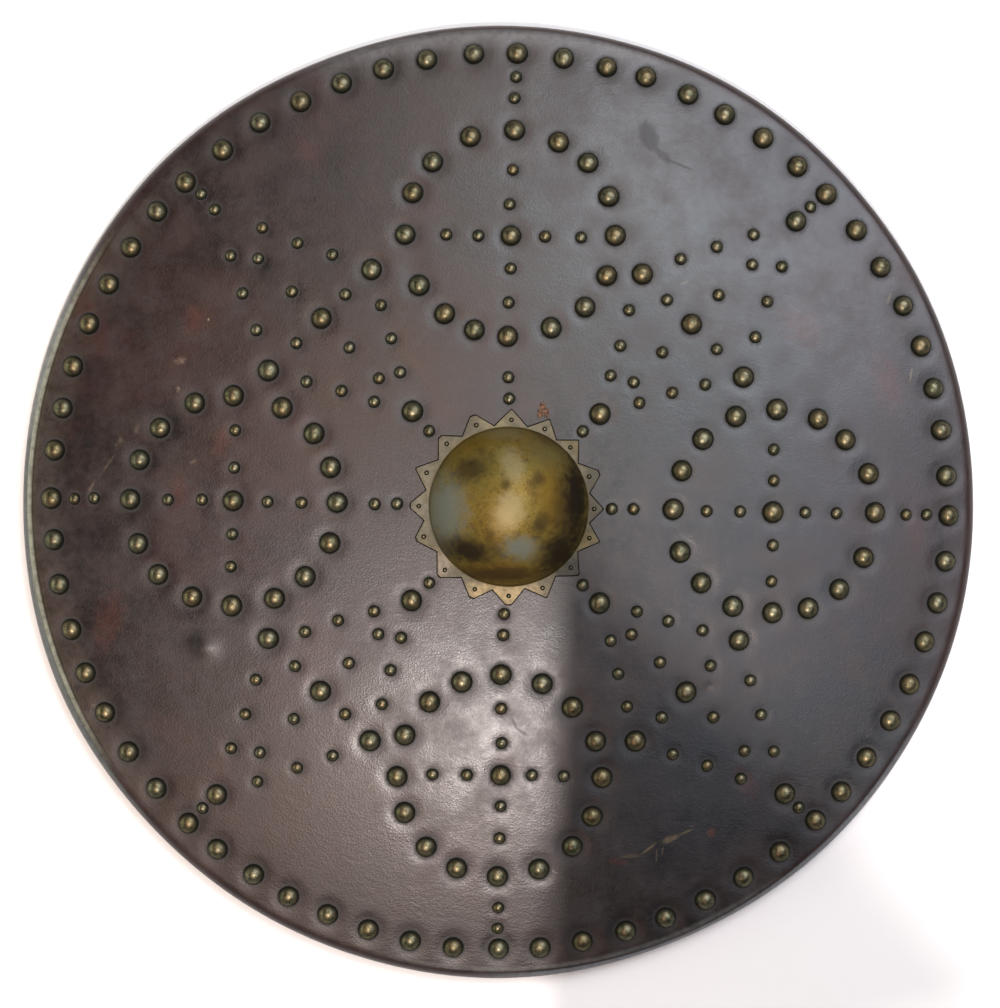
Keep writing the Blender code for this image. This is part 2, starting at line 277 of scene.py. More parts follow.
def board_shape():
    """Crown, fall of the dish and outline of the board: height = crown - fall * distance ** 2."""
    points = np.array([vertex.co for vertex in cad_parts["board"].data.vertices])
    reach = np.hypot(points[:, 0], points[:, 1])
    lining_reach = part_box("back_lining")[1].x
    tops = {}
    for ring, height in zip(np.round(reach, 3), points[:, 2]):
        if ring < lining_reach + MM:
            tops[ring] = max(tops.get(ring, 0.0), height)
    rings = np.array(list(tops))
    slope, crown = np.polyfit(rings ** 2, np.array(list(tops.values())), 1)
    widest = np.zeros(BOARD_CORNERS)
    for point, distance in zip(points, reach):
        corner = round(bearing_of(point[:2]) * BOARD_CORNERS / 360) % BOARD_CORNERS
        widest[corner] = max(widest[corner], distance)
    bearings = np.arange(BOARD_CORNERS) * 360 / BOARD_CORNERS
    return crown, -slope, np.column_stack([bearings, widest])


CROWN, FALL, EDGE = board_shape()
BACK_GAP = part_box("board")[1].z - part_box("back_lining")[1].z   # from the face to the lining's top


def face_height(x, y):
    """Height of the leather face above the ground."""
    return CROWN - FALL * (x * x + y * y)


def face_normal(x, y):
    """Direction in which the face looks at a point."""
    return Vector((2 * FALL * x, 2 * FALL * y, 1.0)).normalized()


def outline_reach(x, y):
    """How far out the hand-cut edge of the board lies in the direction of a point."""
    bearings = np.degrees(np.arctan2(x, y)) % 360
    return np.interp(bearings, EDGE[:, 0], EDGE[:, 1], period=360)


# ---------------------------------------------------------------- the stud pattern

def crossing(a, b, c, d):
    """Where the line from a to b meets the line from c to d."""
    along = np.linalg.solve(np.column_stack([b - a, c - d]), c - a)[0]
    return a + along * (b - a)


def circle_through(points):
    """Centre and radius of the circle that lies nearest to the points."""
    points = np.array(points)
    system = np.column_stack([2 * points, np.ones(len(points))])
    x, y, rest = np.linalg.lstsq(system, (points ** 2).sum(axis=1), rcond=None)[0]
    return np.array([x, y]), math.sqrt(rest + x * x + y * y)


def rim_layout(draw):
    """One ring of large studs, stepped off evenly between eight anchors."""
    centre, radius = circle_through([spot_of(f"stud_rim_{side}") for side in SIDES])
    quarters = [bearing_of(spot_of(f"stud_rim_{side}") - centre) for side in SIDES]
    anchors = []
    for number, corner in enumerate(CORNERS):
        start = quarters[number]
        end = quarters[(number + 1) % 4] + (360 if number == 3 else 0)
        anchors += [start, (start + end) / 2 + RIM_SLIPS[corner]]
    anchors.append(anchors[0] + 360)
    studs = []
    for start, end in zip(anchors, anchors[1:]):
        for step in range(RIM_STEPS):
            slip = RIM_LEAN + draw.gauss(0, 0.12) if step else 0.0
            bearing = start + (end - start) * step / RIM_STEPS + slip
            out = radius + draw.gauss(0, 0.3) * MM
            studs.append(Stud(*(centre + out * heading(bearing)), True))
    return studs


def roundel_layout(side, axis, draw, stray):
    """A ring of large studs round a centre stud, with a cross of small ones inside."""
    radius, first, aside, astray = ROUNDELS[side]
    centre = spot_of(f"stud_roundel_{side}")
    middle = centre + np.array(aside) * MM
    studs = [Stud(*centre, True)]
    for number in range(ROUNDEL_STUDS):
        bearing = first + number * 360 / ROUNDEL_STUDS + astray.get(number, draw.gauss(0, 0.3))
        out = radius * MM + draw.gauss(0, stray)
        studs.append(Stud(*(middle + out * heading(bearing)), True))
    for turn, shares in ROUNDEL_ARMS.items():
        arm = heading(axis + turn)
        for part in shares:
            spot = centre + arm * part * radius * MM + np.array([draw.gauss(0, stray) for _ in "xy"])
            studs.append(Stud(*spot, False))
    return studs


def lozenge_layout(corner, draw, stray):
    """A lozenge of small studs on five large key studs, which the frame holds."""
    middle, inner, outer, left, right = (
        spot_of(f"stud_{part}_{corner}{hand}") for part, hand in (
            ("lozenge", ""), ("inner", ""), ("outer", ""),
            ("lozenge", "_left"), ("lozenge", "_right")))
    out = (middle - inner) / np.linalg.norm(middle - inner)
    across = np.array([out[1], -out[0]])
    stretch = np.linalg.norm(middle - inner) / (LOZENGE_INNER * MM)
    slip = (left + right - 2 * middle) @ across / 2
    outer_is_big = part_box(f"stud_outer_{corner}")[1].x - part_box(f"stud_outer_{corner}")[0].x > 8 * MM
    studs = [Stud(*spot, True) for spot in (middle, inner, left, right)]
    studs.append(Stud(*outer, outer_is_big))
    small = [middle + out * ahead * stretch * MM + across * (aside * MM + 0.3 * slip)
             for ahead, aside in LOZENGE_SMALL]
    small.append(outer + out * PAST_OUTER * MM)
    for spot in small:
        spot = spot + np.array([draw.gauss(0, stray) for _ in "xy"])
        studs.append(Stud(*spot, False))
    return studs


def axis_layout(middle, draw, stray):
    """Small studs that tie each roundel to the boss and to the rim ring."""
    studs = []
    for side in SIDES:
        centre, rim = spot_of(f"stud_roundel_{side}"), spot_of(f"stud_rim_{side}")
        ahead = (centre - middle) / np.linalg.norm(centre - middle)
        outer = centre + ahead * ROUNDELS[side][0] * MM
        spots = [middle + (centre - middle) * part for part in AXIS_INNER]
        spots += [outer + (rim - outer) * part for part in AXIS_OUTER]
        for spot in spots:
            spot = spot + np.array([draw.gauss(0, stray) for _ in "xy"])
            studs.append(Stud(*spot, False))
    return studs


def stud_layout(settings):
    """Every stud of the face, in named groups."""
    draw = random.Random(1745)
    stray = settings.stray
    north, east, south, west = (spot_of(f"stud_roundel_{side}") for side in SIDES)
    middle = crossing(north, south, east, west)
    groups = {"rim_studs": rim_layout(draw)}
    for side in SIDES:
        axis = bearing_of(spot_of(f"stud_roundel_{side}") - middle)
        groups[f"roundel_studs_{side}"] = roundel_layout(side, axis, draw, stray)
    for corner in CORNERS:
        groups[f"lozenge_studs_{corner}"] = lozenge_layout(corner, draw, stray)
    groups["axis_studs"] = axis_layout(middle, draw, stray)
    return groups


# ---------------------------------------------------------------- workshop helpers

def clear_bench():
    """Leaves edit mode and deselects everything, so that the next tool acts on its piece alone."""
    if bpy.context.object is not None and bpy.context.object.mode != "OBJECT":
        bpy.ops.object.mode_set(mode="OBJECT")
    bpy.ops.object.select_all(action="DESELECT")


def take(piece):
    """Makes a piece the only selected and active one."""
    clear_bench()
    piece.select_set(True)
    bpy.context.view_layer.objects.active = piece


@contextmanager
def edit_mode():
    """Edit mode on the active piece, with all of it selected at first."""
    bpy.ops.object.mode_set(mode="EDIT")
    bpy.ops.mesh.select_all(action="SELECT")
    yield
    bpy.ops.object.mode_set(mode="OBJECT")


def named(name):
    """Names the piece that was just made."""
    piece = bpy.context.active_object
    piece.name = name
    piece.data.name = name
    return piece


def points_of(piece):
    """Points of a piece, one row each."""
    points = np.empty(len(piece.data.vertices) * 3)
    piece.data.vertices.foreach_get("co", points)
    return points.reshape(-1, 3)


def reach_of(points):
    """How far each point lies from the Z axis."""
    return np.hypot(points[:, 0], points[:, 1])


def set_points(piece, points):
    """Moves the points of a piece."""
    piece.data.vertices.foreach_set("co", points.astype(np.float32).ravel())
    piece.data.update()


def keep_value(piece, name, values):
    """Stores one number per point for the finish to read."""
    layer = piece.data.attributes.new(name, "FLOAT", "POINT")
    layer.data.foreach_set("value", np.asarray(values, np.float32))


def value_noise(points, size, seed=0.0):
    """Smooth noise from -1 to 1 at each point, with swells about as wide as the size."""
    return np.array([noise.noise(Vector(point) / size + Vector((seed, seed, seed)))
                     for point in points])


def apply_modifier(piece, kind, **settings):
    """Adds a modifier, sets it up and applies it."""
    take(piece)
    modifier = piece.modifiers.new(kind.lower(), kind)
    for name, value in settings.items():
        setattr(modifier, name, value)
    bpy.ops.object.modifier_apply(modifier=modifier.name)


def select_open_edge():
    """Selects the open edge of the mesh in edit mode."""
    bpy.ops.mesh.select_mode(type="EDGE")
    bpy.ops.mesh.select_all(action="DESELECT")
    bpy.ops.mesh.select_non_manifold(extend=False, use_wire=False, use_boundary=True,
                                     use_multi_face=False, use_non_contiguous=False,
                                     use_verts=False)


def draw_out(profile, start):
    """Extrudes the selected edge through (radius, height) steps round the Z axis."""
    radius, height = start
    for next_radius, next_height in profile:
        bpy.ops.mesh.extrude_region()
        scale = next_radius / radius
        bpy.ops.transform.resize(value=(scale, scale, 1.0), center_override=(0, 0, 0))
        bpy.ops.transform.translate(value=(0, 0, next_height - height))
        radius, height = next_radius, next_height


def standing_on(x, y, height, normal):
    """Placement of a piece whose foot lies at a height and whose axis follows the normal."""
    turn = Vector((0, 0, 1)).rotation_difference(normal).to_matrix().to_4x4()
    return Matrix.Translation((x, y, height)) @ turn


def joined(name, parts):
    """Joins parts in one piece, which takes the name."""
    take(parts[0])
    for part in parts:
        part.select_set(True)
    if len(parts) > 1:
        bpy.ops.object.join()
    return named(name)


def finish_piece(piece, material, replaced=()):
    """Gives a piece its finish and hands it to the frame."""
    piece.data.materials.clear()
    piece.data.materials.append(material)
    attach(piece, BODY)
    if replaced:
        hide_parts(*replaced)


def even_disc(name, rings, radius):
    """A disc of even triangles: a hexagon of triangles, cut finely and eased round."""
    clear_bench()
    bpy.ops.mesh.primitive_circle_add(vertices=6, radius=1.0, fill_type="TRIFAN")
    piece = named(name)
    with edit_mode():
        bpy.ops.mesh.subdivide(number_cuts=11)
        bpy.ops.mesh.subdivide(number_cuts=rings // 12 - 1)
    points = points_of(piece)
    reach = reach_of(points)
    angle = np.arctan2(points[:, 1], points[:, 0])
    corner = angle[np.argmax(reach)]
    sixth = math.pi / 3
    side = np.floor((angle - corner) / sixth + 1e-9)
    lean = angle - corner - (side + 0.5) * sixth
    ring = reach * np.cos(lean) / math.cos(sixth / 2)
    along = reach * np.sin(lean) / np.maximum(ring, 1e-9) + 0.5
    turn = corner + (side + along) * sixth
    points[:, 0] = ring * radius * np.cos(turn)
    points[:, 1] = ring * radius * np.sin(turn)
    set_points(piece, points)
    return piece


# ---------------------------------------------------------------- finishes

class Finish:
    """A material being laid down. Its patterns read Object coordinates, which are metres."""

    def __init__(self, name):
        self.material = bpy.data.materials.new(name)
        self.material.use_nodes = True
        self.nodes = self.material.node_tree.nodes
        self.links = self.material.node_tree.links
        self.shader = self.nodes["Principled BSDF"]
        self.place = self.nodes.new("ShaderNodeTexCoord").outputs["Object"]
        self.ragged = None                # noise that frays the edges of patches

    def feed(self, socket, value):
        """Links a socket to another, or sets it to a plain value."""
        if isinstance(value, bpy.types.NodeSocket):
            self.links.new(value, socket)
        elif socket.type == "RGBA" and len(value) == 3:
            socket.default_value = (*value, 1.0)
        else:
            socket.default_value = value

    def set(self, **values):
        """Feeds the main shader; underscores in the names stand for blanks."""
        for name, value in values.items():
            self.feed(self.shader.inputs[name.replace("_", " ")], value)

    def moved(self, centre=(0, 0, 0), size=(1, 1, 1), turn=0.0):
        """Object coordinates centred on a place, turned by a bearing and measured in a size."""
        node = self.nodes.new("ShaderNodeMapping")
        node.vector_type = "TEXTURE"
        self.feed(node.inputs["Vector"], self.place)
        node.inputs["Location"].default_value = centre
        node.inputs["Rotation"].default_value = (0, 0, -math.radians(turn))
        node.inputs["Scale"].default_value = size
        return node.outputs["Vector"]

    def noise(self, size, detail=3.0, rough=0.5, twist=0.0, place=None):
        """Cloudy noise from 0 to 1 with features about as wide as the size."""
        node = self.nodes.new("ShaderNodeTexNoise")
        self.feed(node.inputs["Vector"], place or self.place)
        node.inputs["Scale"].default_value = 1 / size
        node.inputs["Detail"].default_value = detail
        node.inputs["Roughness"].default_value = rough
        node.inputs["Distortion"].default_value = twist
        return node.outputs[0]

    def cells(self, size):
        """Distance pattern of scattered cells about as wide as the size."""
        node = self.nodes.new("ShaderNodeTexVoronoi")
        self.feed(node.inputs["Vector"], self.place)
        node.inputs["Scale"].default_value = 1 / size
        return node.outputs["Distance"]

    def stored(self, name):
        """A number that the mesh stores at its points."""
        node = self.nodes.new("ShaderNodeAttribute")
        node.attribute_name = name
        return node.outputs["Fac"]

    def distance(self, place):
        """Length of a vector."""
        node = self.nodes.new("ShaderNodeVectorMath")
        node.operation = "LENGTH"
        self.feed(node.inputs[0], place)
        return node.outputs["Value"]

    def ramp(self, value, low, high, start=0.0, end=1.0):
        """Eases from start to end while the value goes from low to high."""
        node = self.nodes.new("ShaderNodeMapRange")
        node.interpolation_type = "SMOOTHSTEP"
        for socket, number in zip(node.inputs, (value, low, high, start, end)):
            self.feed(socket, number)
        return node.outputs["Result"]

    def math(self, operation, *values):
        """Works out one number from others."""
        node = self.nodes.new("ShaderNodeMath")
        node.operation = operation
        for socket, value in zip(node.inputs, values):
            self.feed(socket, value)
        return node.outputs["Value"]

    def times(self, *values):
        """Multiplies numbers."""
        product = values[0]
        for value in values[1:]:
            product = self.math("MULTIPLY", product, value)
        return product

    def most(self, *values):
        """Takes the largest of some numbers."""
        largest = values[0]
        for value in values[1:]:
            largest = self.math("MAXIMUM", largest, value)
        return largest

    def mix(self, amount, under, over):
        """Lays one colour over another."""
        node = self.nodes.new("ShaderNodeMix")
        node.data_type = "RGBA"
        self.feed(node.inputs[0], amount)
        self.feed(node.inputs[6], under)
        self.feed(node.inputs[7], over)
        return node.outputs[2]

    def blend(self, amount, under, over):
        """Mixes two numbers."""
        node = self.nodes.new("ShaderNodeMix")
        self.feed(node.inputs[0], amount)
        self.feed(node.inputs[2], under)
        self.feed(node.inputs[3], over)
        return node.outputs[0]

    def relief(self, height, depth, under=None):
        """Raises the surface by a pattern that is as deep as depth."""
        node = self.nodes.new("ShaderNodeBump")
        node.inputs["Strength"].default_value = 1.0
        node.inputs["Distance"].default_value = depth
        self.feed(node.inputs["Height"], height)
        if under is not None:
            self.feed(node.inputs["Normal"], under)
        return node.outputs["Normal"]

    def patch(self, centre, size, turn=0.0, soft=0.5, ragged=0.35):
        """A mask of 1 inside an oval place with a soft, ragged edge. Lengths are millimetres."""
        x, y = (number * MM for number in centre)
        wide, long = (number * MM / 2 for number in size)
        local = self.moved((x, y, 0.0), (wide, long, 1.0), turn)
        flat = self.nodes.new("ShaderNodeVectorMath")
        flat.operation = "MULTIPLY"
        self.feed(flat.inputs[0], local)
        flat.inputs[1].default_value = (1, 1, 0)
        reach = self.distance(flat.outputs["Vector"])
        if self.ragged is None:
            self.ragged = self.noise(4.0 * MM, 5.0, 0.62)
        wander = self.math("MULTIPLY_ADD", self.ragged, 4 * ragged, -2 * ragged)
        return self.ramp(self.math("ADD", reach, wander), 1.0, 1.0 - soft)

    def marks(self, rows, tone, hue, soft, ragged, *broken):
        """Lays a colour over the places of a table; a pattern may break the marks up."""
        for x, y, wide, long, turn, strength in rows:
            place = self.patch((x, y), (wide, long), turn, soft, ragged)
            tone = self.mix(self.times(place, *broken, strength), tone, hue)
        return tone


# Colours of the leather besides those of the settings
FLECKED_BROWN = (0.0128, 0.0066, 0.0050)
THIN_DYE = (0.0200, 0.0066, 0.0058)
BLUE_BLACK_SHADE = (0.0024, 0.0030, 0.0042)
WAX_BLOOM = (0.0165, 0.0150, 0.0165)
RUBBED_RIM = (0.026, 0.011, 0.008)
RAW_SCRATCH = (0.175, 0.130, 0.065)
RED_DYE = (0.045, 0.010, 0.007)
GREY_STAIN = (0.012, 0.012, 0.012)
PACKED_GRIME_AND_SHADE = (0.0034, 0.0034, 0.0024)


def leather_finish(settings):
    """Dyed, waxed and handled leather: dark, with rubbed patches, scuffs and scratches."""
    skin = Finish("waxed_leather")
    clouds = skin.noise(0.16, 4.0, 0.55, 0.6)
    mottle = skin.noise(0.022, 5.0, 0.6)
    fine = skin.noise(0.0035, 4.0, 0.6)
    dye = skin.ramp(skin.blend(0.40, clouds, mottle), 0.42, 0.60)
    tone = skin.mix(dye, settings.dark, settings.brown)
    tone = skin.mix(skin.ramp(fine, 0.40, 0.70, 0.0, 0.55), tone, FLECKED_BROWN)
    worn = skin.noise(0.009, 5.0, 0.7)
    split = skin.nodes.new("ShaderNodeSeparateXYZ")
    skin.feed(split.inputs[0], skin.place)
    thin = skin.times(skin.ramp(skin.noise(0.055, 5.0, 0.65, 1.0), 0.50, 0.68, 0.0, 0.6),
                      skin.ramp(split.outputs["X"], 0.08, -0.08, 0.25, 1.0))
    tone = skin.mix(thin, tone, THIN_DYE)
    # painted shade: the lower right quarter darkened blue-black
    tone = skin.marks(BLUE_BLACK, tone, BLUE_BLACK_SHADE, 0.6, 0.15)
    bloom = skin.ramp(worn, 0.48, 0.78)
    tone = skin.mix(skin.times(bloom, 0.55), tone, WAX_BLOOM)
    rim = skin.distance(skin.moved(size=(1, 1, 1000)))      # the height hardly counts
    rub = skin.times(skin.ramp(rim, 0.2345, 0.2380), skin.ramp(worn, 0.25, 0.70, 0.5, 1.0))
    tone = skin.mix(skin.times(rub, 0.45), tone, RUBBED_RIM)
    front = skin.ramp(split.outputs["Z"], 0.002, 0.005)     # keeps the painted rim bands off the back
    # painted highlights, sheen and shadow along the rolled edge, laid on as bands of colour
    for bearing, width, low, soft, high, hue, strength in RIM_LIGHT_AND_SHADE:
        way = skin.nodes.new("ShaderNodeVectorMath")
        way.operation = "DOT_PRODUCT"
        skin.feed(way.inputs[0], skin.place)
        way.inputs[1].default_value = (*heading(bearing), 0.0)
        near = skin.ramp(way.outputs["Value"], RIM_BAND_REACH * math.cos(math.radians(width)),
                         RIM_BAND_REACH * math.cos(math.radians(width * 0.6)))
        band = skin.times(skin.ramp(rim, low, low + soft), skin.ramp(rim, high, high - 0.0012))
        rim_band_light = skin.times(near, band, front, skin.ramp(fine, 0.30, 0.60, 0.55, 1.0), strength)
        tone = skin.mix(rim_band_light, tone, hue)
    tone = skin.marks(LEATHER_SCUFFS, tone, settings.worn, 0.9, 0.45, skin.ramp(fine, 0.35, 0.7))
    tone = skin.marks(SCRATCHES, tone, RAW_SCRATCH, 0.7, 0.16,
                      skin.ramp(fine, 0.25, 0.60, 0.45, 1.0))
    tone = skin.marks(RED_PATCHES, tone, RED_DYE, 1.0, 0.35)
    grain = skin.cells(settings.grain)
    pores = skin.noise(settings.grain * 0.5, 3.0, 0.6)
    creases = skin.noise(0.006, 4.0, 0.55, 1.2, skin.moved(size=(1.6, 0.7, 1.0), turn=8))
    normal = skin.relief(creases, 0.06 * MM)
    normal = skin.relief(grain, 0.04 * MM, normal)
    normal = skin.relief(pores, 0.025 * MM, normal)
    gloss = skin.blend(skin.ramp(mottle, 0.3, 0.75), settings.roughness - 0.05,
                       settings.roughness + 0.08)
    gloss = skin.math("MULTIPLY_ADD", fine, 0.14, skin.math("SUBTRACT", gloss, 0.07))
    for x, y, wide, long, turn, strength in STAINS:         # matt as well as grey
        stain = skin.times(skin.patch((x, y), (wide, long), turn, 0.5, 0.12), strength)
        tone = skin.mix(stain, tone, GREY_STAIN)
        gloss = skin.blend(stain, gloss, 0.62)
    # painted shade and packed soil in a ring round each stud's foot: darker and more matt
    foot_shade_and_grime = skin.stored("foot_shade_and_grime")
    tone = skin.mix(foot_shade_and_grime, tone, PACKED_GRIME_AND_SHADE)
    gloss = skin.blend(foot_shade_and_grime, gloss, 0.64)
    skin.set(Base_Color=tone, Roughness=gloss, Normal=normal)
    return skin.material


STUD_FINISH = "darkened_brass"
RUBBED_STUD = (0.130, 0.090, 0.040)
GREEN_TARNISH = (0.040, 0.045, 0.026)
DARK_SPOT = (0.026, 0.022, 0.013)


def stud_finish(settings):
    """Darkened brass, darker from the crown down to the foot of each head: packed wax and soil there,
    and painted shade on the flanks.
    """
    head = Finish(STUD_FINISH)
    rise = head.stored("rise")
    tone = head.stored("tone")
    spots = head.noise(0.0013, 4.0, 0.7)
    blotches = head.noise(0.0034, 3.0, 0.6, 0.8)
    metal = head.mix(head.ramp(tone, 0.0, 1.0, 0.0, 0.5), settings.stud, RUBBED_STUD)
    metal = head.mix(head.ramp(blotches, 0.46, 0.62, 0.0, 0.75), metal, GREEN_TARNISH)
    metal = head.mix(head.ramp(spots, 0.52, 0.72, 0.0, 0.7), metal, DARK_SPOT)
    # painted shade as well as packed soil: each head darkens from near its crown down to its foot
    foot = head.ramp(head.math("ADD", rise, head.times(spots, 0.30)), 1.10, 0.42)
    shade = head.mix(foot, metal, settings.dirt_and_shade)
    rough = head.blend(head.ramp(spots, 0.4, 0.75), settings.stud_roughness,
                       settings.stud_roughness + 0.20)
    rough = head.blend(foot, rough, 0.7)
    normal = head.relief(head.noise(0.0012, 3.0, 0.6), 0.06 * MM)
    head.set(Base_Color=shade, Roughness=rough, Metallic=1.0, Normal=normal)
    return head.material


# Colours laid on the dome: tarnish that it has taken on with age, and painted light: painted highlights
# near the crown, painted reflections and painted shade on the right side. In millimetres from the
# shield's middle: x, y, width, length, bearing of the length, colour, strength, and how matt the place
# is
GREY_FILM_AND_REFLECTION = (0.085, 0.093, 0.074)
DARK_BROWN = (0.010, 0.0065, 0.003)
RED_BROWN = (0.034, 0.020, 0.006)
OCHRE = (0.112, 0.066, 0.008)
OLIVE = (0.080, 0.072, 0.026)
PALE = (0.190, 0.170, 0.092)
TAN = (0.168, 0.136, 0.064)
DULL_GOLD = (0.120, 0.104, 0.050)
WARM_BRASS = (0.125, 0.082, 0.015)
SOILED_BRASS = (0.052, 0.045, 0.031)
FOOT_DIRT_AND_SHADE = (0.006, 0.0045, 0.003)
DOME_SPREAD = 1.25                    # how much wider the ragged edge makes each patch
DOME_PATCHES = (
    (25, 24, 22, 30, 130, OLIVE, 0.6, 0.3), (-9, 29, 9, 34, 65, OCHRE, 0.6, 0.2),
    (26, 3, 18, 36, 0, OCHRE, 0.75, 0.1), (2, -34, 10, 54, 90, OCHRE, 0.55, 0.3),
    (31, -4, 12, 40, 0, RED_BROWN, 0.55, 0.2), (0, -36, 10, 58, 90, RED_BROWN, 0.9, 0.4),
    (-27, -22, 12, 26, 135, RED_BROWN, 0.6, 0.4), (-33, 16, 8, 26, 28, OLIVE, 0.8, 0.6),
    # the PALE and TAN places near the crown are painted highlights on rubbed brass
    (2, 34, 9, 28, 90, DULL_GOLD, 0.6, 0.3), (7, 18, 14, 22, 165, PALE, 0.5, 0.5),
    (5, -5, 18, 26, 20, TAN, 0.85, 0.1),
    # the grey places are painted reflections as well as film
    (-26, -5, 26, 44, 0, GREY_FILM_AND_REFLECTION, 0.95, 1.0), (11, -23, 14, 22, 95, GREY_FILM_AND_REFLECTION, 0.9, 1.0),
    (-13, 16, 14, 24, 60, DARK_BROWN, 0.72, 0.7), (-14, -24, 15, 31, 104, DARK_BROWN, 0.95, 0.7),
    # these two rows are painted shade on the right and lower right of the dome
    (38.5, 3, 17, 60, 178, DARK_BROWN, 1.0, 0.6), (30, -25, 22, 34, 35, DARK_BROWN, 0.95, 0.6),
    (-31, 22, 7, 36, 42, DARK_BROWN, 0.6, 0.6), (22, 33, 8, 30, 130, RED_BROWN, 0.6, 0.4),
    (3.5, 8, 7, 7, 0, DARK_BROWN, 0.55, 0.8), (20, 11.5, 8, 9, 0, DARK_BROWN, 0.6, 0.8),
    (21, -11, 9, 15, 20, DARK_BROWN, 0.65, 0.8), (-4, -17, 6, 8, 30, RED_BROWN, 0.6, 0.5),
)

# Colours of the flange's teeth, laid out like the dome's: the brass's own tones, a painted highlight on
# the southern teeth and painted shade on the eastern and south-eastern ones
FLANGE_PATCHES = (
    (1, -46, 18, 56, 90, (0.270, 0.205, 0.110), 0.9),
    (-30, -31, 18, 22, 45, (0.185, 0.155, 0.115), 0.9),
    (-38, 4, 16, 44, 0, (0.130, 0.118, 0.088), 0.8),
    (-2, 40, 12, 20, 90, (0.140, 0.122, 0.070), 0.8),
    (48, 4, 16, 66, 0, (0.052, 0.048, 0.036), 0.9),
    (36, -35, 20, 26, 45, (0.034, 0.033, 0.028), 0.95),
    (42, -21, 9, 14, 30, (0.110, 0.090, 0.045), 0.8),
    (-16, 37, 12, 18, 60, (0.066, 0.060, 0.046), 0.8),
)


def boss_finish(settings):
    """Old brass with tarnish, rubbed and painted bright on the crown, with grey film and painted
    reflections, and painted shade on the right side and the eastern teeth.
    """
    brass = Finish("brushed_brass")
    rise = brass.stored("rise")
    clouds = brass.noise(0.030, 4.0, 0.55, 0.8)
    fine = brass.noise(0.0035, 5.0, 0.65)
    metal = brass.mix(brass.ramp(clouds, 0.36, 0.62), settings.boss, WARM_BRASS)
    flecks = brass.noise(0.0010, 4.0, 0.7)
    metal = brass.mix(brass.ramp(flecks, 0.52, 0.70, 0.0, 0.55), metal, settings.tarnish)
    metal = brass.mix(brass.ramp(flecks, 0.45, 0.28, 0.0, 0.45), metal, PALE)
    cloudy = brass.noise(0.007, 5.0, 0.65, 0.5)
    metal = brass.mix(brass.ramp(cloudy, 0.44, 0.74, 0.0, 0.60), metal, settings.tarnish)
    matt = 0.0
    for x, y, wide, long, turn, hue, strength, dull in DOME_PATCHES:
        patch = brass.times(brass.patch((x, y), (wide * DOME_SPREAD, long * DOME_SPREAD), turn,
                                        0.8, 0.22), strength)
        metal = brass.mix(patch, metal, hue)
        matt = brass.blend(patch, matt, dull)
    flange = brass.ramp(rise, 0.006, 0.0)
    plate = settings.flange
    for x, y, wide, long, turn, hue, strength in FLANGE_PATCHES:
        place = brass.times(brass.patch((x, y), (wide, long), turn, 0.6, 0.2), strength)
        plate = brass.mix(place, plate, hue)
    soiled = brass.mix(brass.ramp(fine, 0.42, 0.66, 0.0, 0.5), plate, SOILED_BRASS)
    metal = brass.mix(flange, metal, soiled)
    # a dark line at the dome's foot and a dark outline on the flange's edge: soil and painted shade in
    # the crease and the gap
    foot = brass.times(brass.ramp(rise, 0.001, 0.012), brass.ramp(rise, 0.085, 0.02),
                       brass.ramp(clouds, 0.30, 0.60, 0.15, 0.55))
    rim = brass.times(brass.ramp(brass.stored("edge"), 0.2, 0.8), 0.7)
    metal = brass.mix(brass.most(foot, rim), metal, FOOT_DIRT_AND_SHADE)
    stroke = brass.noise(0.0009, 2.0, 0.5, 0.0, brass.moved(size=(7, 1.0, 7), turn=-20))
    cross = brass.noise(0.0008, 2.0, 0.5, 0.0, brass.moved(size=(1.0, 6, 6), turn=25))
    normal = brass.relief(stroke, 0.08 * MM)
    normal = brass.relief(cross, 0.06 * MM, normal)
    normal = brass.relief(flecks, 0.08 * MM, normal)
    rough = brass.blend(matt, settings.boss_roughness, settings.boss_roughness + 0.18)
    rough = brass.blend(flange, rough, 0.55)
    gleam = brass.blend(matt, 0.62, 0.20)
    gleam = brass.blend(flange, gleam, 0.20)
    brass.set(Base_Color=metal, Roughness=rough, Metallic=gleam, Normal=normal,
              Specular_IOR_Level=0.1)
    return brass.material


PALE_NAP = (0.33, 0.23, 0.16)
RUBBED_STRAP = (0.20, 0.12, 0.07)
DUSTY_WAX_AND_SHADE = ((0.0045, 0.0035, 0.0030), (0.016, 0.010, 0.008))
RED_AND_GREY_CRUST = ((0.150, 0.075, 0.048), (0.030, 0.027, 0.021))


def hide_finish(settings):
    """Plain matt hide with a nap and faint stains."""
    hide = Finish("napped_hide")
    clouds = hide.noise(0.09, 5.0, 0.6)
    nap = hide.noise(0.0016, 4.0, 0.7)
    dark = tuple(channel * 0.55 for channel in settings.hide)
    tone = hide.mix(hide.ramp(clouds, 0.35, 0.68), dark, settings.hide)
    tone = hide.mix(hide.ramp(nap, 0.3, 0.8, 0.0, 0.35), tone, PALE_NAP)
    normal = hide.relief(nap, 0.15 * MM)
    rough = hide.blend(nap, 0.72, 0.92)
    hide.set(Base_Color=tone, Roughness=rough, Normal=normal)
    return hide.material


def strap_finish(settings):
    """Brown strap leather, unevenly dyed and rubbed paler in places."""
    strap = Finish("handled_leather")
    clouds = strap.noise(0.03, 4.0, 0.6)
    grain = strap.cells(1.3 * MM)
    dark = tuple(channel * 0.5 for channel in settings.strap)
    tone = strap.mix(strap.ramp(clouds, 0.35, 0.65), dark, settings.strap)
    tone = strap.mix(strap.ramp(strap.noise(0.006, 5.0, 0.7), 0.55, 0.8, 0.0, 0.4), tone,
                     RUBBED_STRAP)
    normal = strap.relief(grain, 0.12 * MM)
    rough = strap.blend(clouds, 0.42, 0.62)
    strap.set(Base_Color=tone, Roughness=rough, Normal=normal)
    return strap.material


